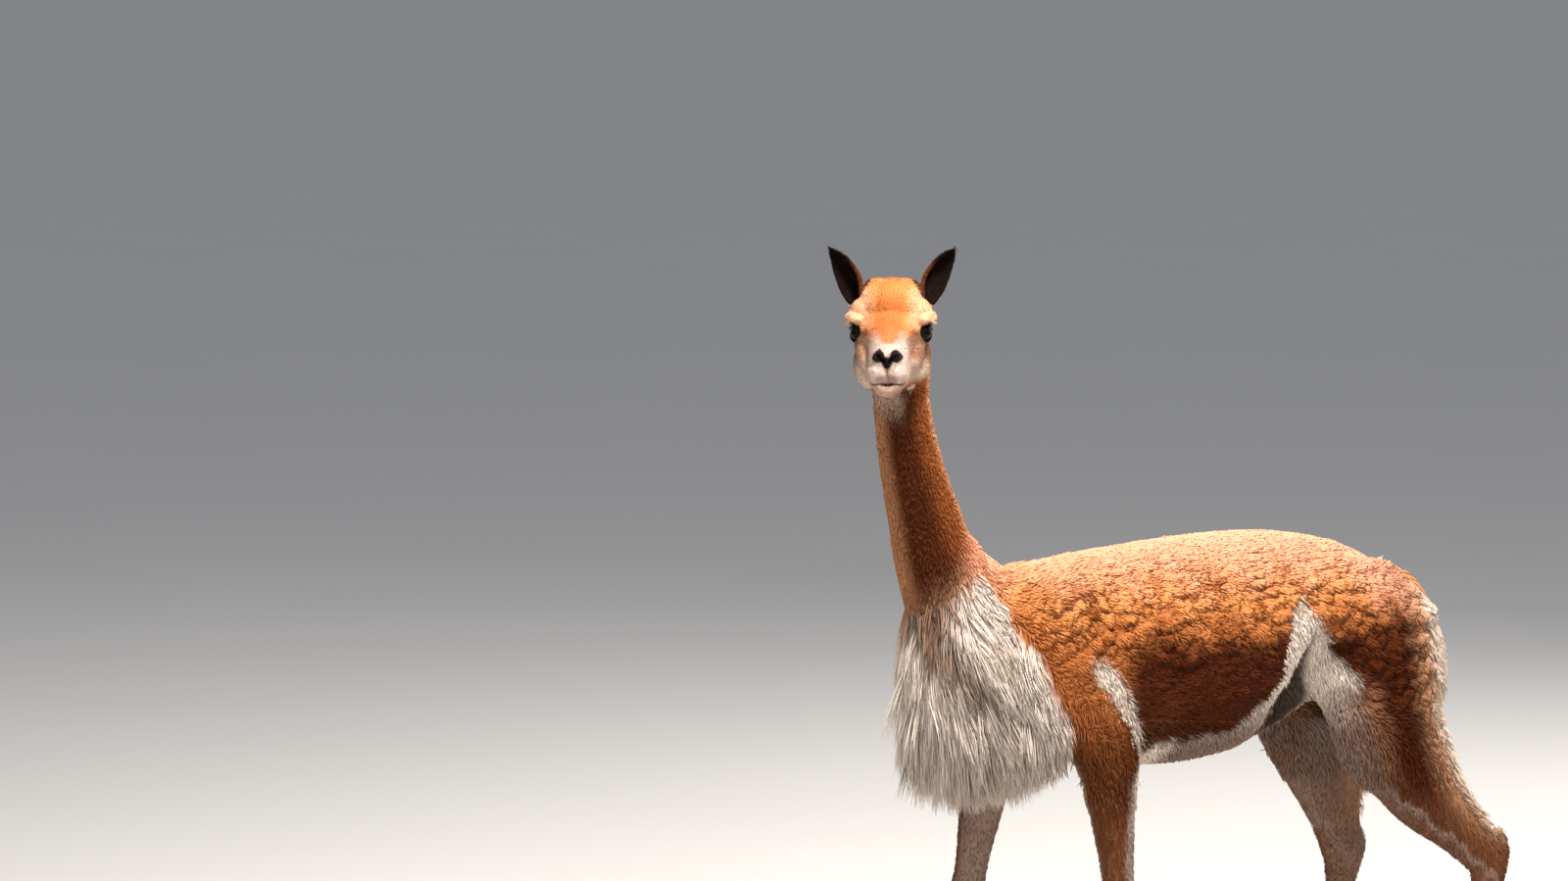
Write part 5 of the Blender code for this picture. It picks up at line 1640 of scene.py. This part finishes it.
def long_locks(name, share_at, length_at, spacing, lift, width, fan, fall_at=falling(0.1), steps=6,
               hangs=False, tone_at=None, depth_at=None):
    """Locks in loose bundles: those of a bundle share a fall and draw together at their tips."""
    points, normals = scattered(share_at, spacing)
    count = len(points)
    bundles, _ = scattered(share_at, spacing * BUNDLE)
    finder = finder_over(bundles)
    near = np.array([finder.find(point)[1] for point in points])
    fall = fall_at(bundles) + rng.normal(0, fan, (len(bundles), 3))
    fall = fall[near] + rng.normal(0, 0.05, (count, 3))
    length = length_at(points) * vary(count, 0.75, 1.1)
    paths, outs = draped(points, normals, fall, length, lift * vary(count, 0.5, 1.2), steps, hangs)
    t = np.linspace(0, 1, steps)[None, :, None]
    drawn = bundles[near] - points
    drawn = drawn - normals * (drawn * normals).sum(axis=1, keepdims=True)
    paths = paths + DRAW * drawn[:, None, :] * t**1.3
    places = np.linspace(0, 5, steps)
    widths = width * vary(count, 0.7, 1.3)[:, None] * np.interp(places, np.arange(6), LONG_PROFILE)
    tone = vary(len(bundles), 0.9, 1.06) if tone_at is None else tone_at(bundles)
    tone = (tone[near] * vary(count, 0.93, 1.05))[:, None]
    depth = 1 if depth_at is None else depth_at(points)[:, None]
    shades = tone * np.interp(places, np.arange(6), LONG_SHADES) ** depth
    colours = coat_colour(points, normals)
    return strands(name, paths, outs, widths, 0.5 * widths, colours, shades, long_finish)


def bib_places(points):
    return bib_share(points) * ease(0.45, 0.48, points[:, 2]) * (1 - 0.3 * neck_shadow_band(points))


def bib_length(points):
    """Longest at mid height on the chest's front, and shorter at the top, the foot, the sides and the edge."""
    x, _, z = points.T
    length = BIB_LENGTH * (0.42 + 0.58 * fade(0.68, 0.78, z)) * (0.62 + 0.38 * ease(0.46, 0.54, z))
    length = length * (1 - 0.3 * ease(0.03, 0.1, np.abs(x)))
    return length * (0.45 + 0.55 * ease(0.0, 0.075, -behind_bib(points)))


def bib_fall(points):
    """Down, and back round the sides of the chest."""
    side = np.abs(points[:, 0])
    back = 0.08 + 0.34 * ease(0.02, 0.1, side) * ease(0.5, 0.62, points[:, 2])
    out = 0.1 * np.sign(points[:, 0]) * ease(0.02, 0.08, side)
    return np.stack([out, back, -np.ones(len(points))], axis=1)


def bib_tone(points):
    """Some bundles get painted shade, most of them in the painted shadow of the head and neck down the chest's
    front.
    """
    dark = rng.random(len(points)) < 0.03 + 0.3 * neck_shadow_band(points) * fade(0.7, 0.73, points[:, 2])
    level = 0.86 - 0.1 * fade(0.56, 0.66, points[:, 2])
    return level * vary(len(points), 0.92, 1.08) * np.where(dark, 0.55, 1.0)


def bib_depth(points):
    """How much darker than elsewhere the roots are, by painted shade: most in the painted shadow of the head
    and neck.
    """
    return 0.8 + 3.6 * neck_shadow_band(points) * fade(0.71, 0.75, points[:, 2])


long_locks("bib_locks", bib_places, bib_length, spacing=0.0043, lift=0.011, width=0.0024, fan=0.13,
           fall_at=bib_fall, steps=5, hangs=True, tone_at=bib_tone, depth_at=bib_depth)

# ---------------------------------------------------------------------------------------------
# The fringe: cream locks on the rump's rear edge, down the backs of the thighs, and on the tail.
# It is straight hair, longer and coarser than the fleece beside it, and rooted in the same hide.


def fringe_places(points):
    x, _, z = points.T
    return rump_edge(points) * ease(0.34, 0.38, z) * fade(0.7, 0.76, z) * (np.abs(x) > 0.035)


long_locks("rump_fringe", fringe_places, all_over(0.03), spacing=0.006, lift=0.011, width=0.003, fan=0.24,
           fall_at=falling(0.45))


def tail_places(points):
    x, y, z = points.T
    return (np.abs(x) < 0.03) * ease(0.374, 0.384, y) * (z > 0.565) * (z < 0.765) * 1.0


def tail_length(points):
    return 0.03 + 0.03 * fade(0.62, 0.72, points[:, 2])


long_locks("tail_hair", tail_places, tail_length, spacing=0.0042, lift=0.007, width=0.0034, fan=0.1)

# ---------------------------------------------------------------------------------------------
# The belly and inner thighs: soft straight wool, white to cream, which lies back and down.
# It grows from the hide in single tufts, without the fleece's clumps.
short_finish = coat_finish("short_hair", mottle=0.16, fine=0.24, bump=0.0005)


def short_hair(name, share_at, length_at, spacing, lift, width, over=0.5):
    """Short tufts that lie along the hide and bend back to it by over."""
    points, normals = scattered(share_at, spacing)
    count = len(points)
    lie = lie_of(points, normals)
    length = length_at(points) * vary(count, 0.75, 1.2)
    lifts, curl = lift * vary(count, 0.4, 1.3), 0.1 * length.mean()
    paths = bent(points, normals, lie, length, lifts, over, curl, sink=0.0008, steps=3)
    widths = width * vary(count, 0.75, 1.25)[:, None] * LOCK_PROFILE
    # Darker at the root, as painted shade deep in the hair.
    shades = vary(count, 0.86, 1.1)[:, None] * np.linspace(0.66, 1.06, 3)
    colours = coat_colour(points, normals)
    return strands(name, paths, normals, widths, 0.5 * widths, colours, shades, short_finish)


def belly_places(points):
    """Where the coat is white and soft, or brown and soft above the forelegs."""
    _, y, z = points.T
    others = np.maximum(fleece_share(points), bib_places(points))
    upper = ease(-0.01, 0.01, behind_bib(points)) * (z < 0.79)
    rear = ease(0.33, 0.35, y) * ease(0.54, 0.58, z)
    return (1 - others) * np.maximum(upper, fade(0.46, 0.52, z)) * (z > 0.42) * (1 - 0.8 * rear)


short_hair("belly_wool", belly_places, all_over(0.019), spacing=0.0049, lift=0.005, width=0.0026,
           over=0.62)

# ---------------------------------------------------------------------------------------------
# Longer straight wool over the soft parts: white in the flank's fold, along the thigh's front and behind the
# elbows, and brown on the lower shoulders, where it hangs over the tops of the forelegs.
OVER_HOLLOW = 0.022  # how far over the dark hollow no long lock grows, so that none hangs into it


def fold_places(points):
    x, y, z = points.T
    fold = white_share(points) * ease(0.46, 0.5, z) * ease(0.06, 0.08, np.abs(x)) * fade(0.3, 0.36, y)
    over_hollow = hollow_share(points - np.array((0, 0, OVER_HOLLOW)))
    return 0.9 * fold * (1 - np.maximum(hollow_share(points), over_hollow))


def fold_length(points):
    return 0.026 + 0.006 * ease(0.56, 0.62, points[:, 2])


long_locks("fold_locks", fold_places, fold_length, spacing=0.0058, lift=0.004, width=0.0025, fan=0.09,
           fall_at=falling(0.2), steps=5)


def shoulder_places(points):
    x, y, z = points.T
    level = ease(0.475, 0.5, z) * fade(0.585, 0.62, z)
    ahead = y < -0.18 - 0.4 * (z - 0.5)
    return ease(0.0, 0.01, behind_bib(points)) * level * ahead * (1 - strip_share(points)) * (np.abs(x) > 0.05)


long_locks("shoulder_locks", shoulder_places, all_over(0.04), spacing=0.0058, lift=0.006, width=0.0028,
           fan=0.13, fall_at=falling(0.2), steps=5)

# ---------------------------------------------------------------------------------------------
# The legs' hair: short and close, longer above, down to the toes.
# It is stiff and straight, and grows from the thin hide over bone and sinew.


def leg_places(points):
    z = points[:, 2]
    return (z <= 0.42) * ease(0.006, 0.02, z)


def leg_length(points):
    return 0.0055 + 0.007 * ease(0.2, 0.42, points[:, 2])


short_hair("leg_hair", leg_places, leg_length, spacing=0.0052, lift=0.0022, width=0.0021)

# ---------------------------------------------------------------------------------------------
# The neck's hair: short, dense and velvety, lying down towards the chest.
# It grows from the hide all round the neck, and gives way to the bib and the fleece below.


def neck_places(points):
    on_neck = fade(-0.004, 0.016, behind_bib(points)) * (1 - bib_places(points))
    return on_neck * ease(0.7, 0.72, points[:, 2]) * (height_over(NECK_TOP, points) < 0.01)


def neck_length(points):
    return 0.0115 + 0.01 * fade(0.76, 0.84, points[:, 2])


short_hair("neck_hair", neck_places, neck_length, spacing=0.0033, lift=0.003, width=0.002,
           over=0.6)

# ---------------------------------------------------------------------------------------------
# The face's hair: the shortest and finest, lying back from the nose to the crown and along the ears.
# It grows from the hide all over the head, and leaves the rims of the lids bare.


def face_places(points):
    clear = (height_over(NECK_TOP, points) >= 0.0) * (points[:, 2] > 1.0)
    for side in SIDES.values():
        clear = clear * ease(0.0205, 0.0225, from_eye(in_head(points), side))
    return clear


def face_length(points):
    return 0.0034 + 0.005 * ease(-0.04, 0.05, in_head(points)[:, 1])


short_hair("face_hair", face_places, face_length, spacing=0.0028, lift=0.0012, width=0.0011)

# ---------------------------------------------------------------------------------------------
# The brow tufts and the lashes: pale wool over the outer corner of each eye, dark lashes on the lid.
# The tufts are rooted in the hide over the bone of the brow, and the lashes along the upper lid's rim.
BROW_TUFTS = 170  # over each eye
LASHES = 34  # on each lid
LASH_LENGTH = 0.0062
LASH_LINE = (0.0158, 0.0122)  # half the length and half the height of the lid's rim

head_turn = head_frame().to_3x3()
brow_points, brow_normals, brow_lie = [], [], []
for side in SIDES.values():
    for _ in range(BROW_TUFTS):
        share = rng.random()
        local = Vector((side * (0.064 - 0.01 * share), rng.normal(-0.004, 0.008), 0.013 + 0.013 * share))
        found, normal, _, _ = skin_tree.find_nearest(head_frame() @ local)
        outward = head_turn @ Vector((side * 0.9, 0.45, -0.15))
        brow_points.append(found)
        brow_normals.append(normal)
        brow_lie.append((outward - normal * outward.dot(normal) * 0.6).normalized())
brow_points, brow_normals, brow_lie = np.array(brow_points), np.array(brow_normals), np.array(brow_lie)
count = len(brow_points)
length, lift = 0.0075 * vary(count, 0.6, 1.25), 0.0012 * vary(count, 0.6, 1.4)
paths = bent(brow_points, brow_normals, brow_lie, length, lift, over=0.6, curl=0.0005, sink=0.001, steps=4)
widths = 0.0011 * vary(count, 0.7, 1.3)[:, None] * np.array((0.8, 1.0, 0.7, 0))
# Darker at the root, as painted shade deep in the tufts.
shades = vary(count, 0.9, 1.08)[:, None] * np.array((0.75, 0.9, 1.0, 1.05))
colours = np.tile(BROW_CREAM, (count, 1))
strands("brow_wool", paths, brow_normals, widths, 0.5 * widths, colours, shades, short_finish)

lash_paths, lash_outs = [], []
for side in SIDES.values():
    place, look, along, up = eye_axes(side)
    for k in range(LASHES):
        turn = math.radians(28 + 124 * k / (LASHES - 1))
        rim = along * LASH_LINE[0] * math.cos(turn) + up * LASH_LINE[1] * math.sin(turn)
        base = place + rim + look * math.sqrt((EYE_RADIUS + 0.0012) ** 2 - rim.length_squared)
        out = (look * 0.85 + rim.normalized() * 0.55).normalized()
        reach = LASH_LENGTH * rng.uniform(0.8, 1.15)
        steps = [base + out * reach * t - up * 0.0035 * math.sin(t * 2.2) for t in (0, 0.35, 0.7, 1.0)]
        lash_paths.append([head_frame() @ step for step in steps])
        lash_outs.append(head_turn @ up)
lash_paths, lash_outs = np.array(lash_paths), np.array(lash_outs)
count = len(lash_paths)
widths = np.tile(0.0007 * np.array((1.0, 0.9, 0.6, 0)), (count, 1))
colours, shades = np.tile(NOSE_BLACK, (count, 1)), np.ones((count, 4))
strands("lashes", lash_paths, lash_outs, widths, 0.7 * widths, colours, shades, short_finish)

# ---------------------------------------------------------------------------------------------
# The studio: a plain pale floor that runs to the horizon, and soft light from three round lamps and a
# pale sky. None of it belongs to the animal.
FLOOR_PALE = (0.62, 0.6, 0.57, 1)
FLOOR_DARK = (*(0.97 * tone for tone in FLOOR_PALE[:3]), 1)
SKY = (0.82, 0.86, 0.95, 1)
# Each light: its name, its place, its width in metres, its power in watts, and its colour
LIGHTS = (
    ("key", (1.7, -0.3, 4.6), 1.0, 440, (1.0, 0.955, 0.9)),
    ("rim", (-2.2, 3.6, 3.6), 1.6, 150, (1.0, 0.96, 0.92)),
    ("front", (5.5, -4.5, 2.4), 3.0, 90, (1.0, 0.98, 0.96)),
)
LIT_PLACE = Vector((0, 0, 0.75))
bm = bmesh.new()
bmesh.ops.create_circle(bm, cap_ends=True, segments=96, radius=170)
floor = object_from("studio_floor", bm)
paper = Finish("studio_paper", roughness=0.9, specular_ior_level=0.1)
paper.shade("Base Color", paper.mix(paper.noise(1.2, 2), FLOOR_PALE, FLOOR_DARK))
floor.data.materials.append(paper.material)

for name, place, size, energy, colour in LIGHTS:
    data = bpy.data.lights.new(name, "AREA")
    data.shape = "DISK"
    data.size = size
    data.energy = energy
    data.color = colour
    light = bpy.data.objects.new(name, data)
    light.location = place
    light.rotation_euler = (LIT_PLACE - Vector(place)).to_track_quat("-Z", "Y").to_euler()
    bpy.context.scene.collection.objects.link(light)

world = bpy.data.worlds.new("studio")
world.use_nodes = True
world.node_tree.nodes["Background"].inputs["Color"].default_value = SKY
world.node_tree.nodes["Background"].inputs["Strength"].default_value = 0.44
bpy.context.scene.world = world
bpy.context.scene.view_settings.view_transform = "Standard"

# ---------------------------------------------------------------------------------------------
# The camera: a long lens, 11 m away at the animal's left front and a little above its back. The view is
# framed as the photo is.
VIEW_FROM = Vector((9.474, -5.47, 1.8))
AZIMUTH = math.radians(63.339)
PITCH = math.radians(4.365)
lens = bpy.data.cameras.new("camera")
lens.sensor_width = 36
lens.lens = 160.875
lens.clip_end = 400
camera = bpy.data.objects.new("camera", lens)
back = Vector((math.sin(AZIMUTH) * math.cos(PITCH), -math.cos(AZIMUTH) * math.cos(PITCH), math.sin(PITCH)))
camera.location = VIEW_FROM + PLACE
camera.rotation_mode = "QUATERNION"
camera.rotation_quaternion = back.to_track_quat("Z", "Y")
bpy.context.scene.collection.objects.link(camera)
bpy.context.scene.camera = camera
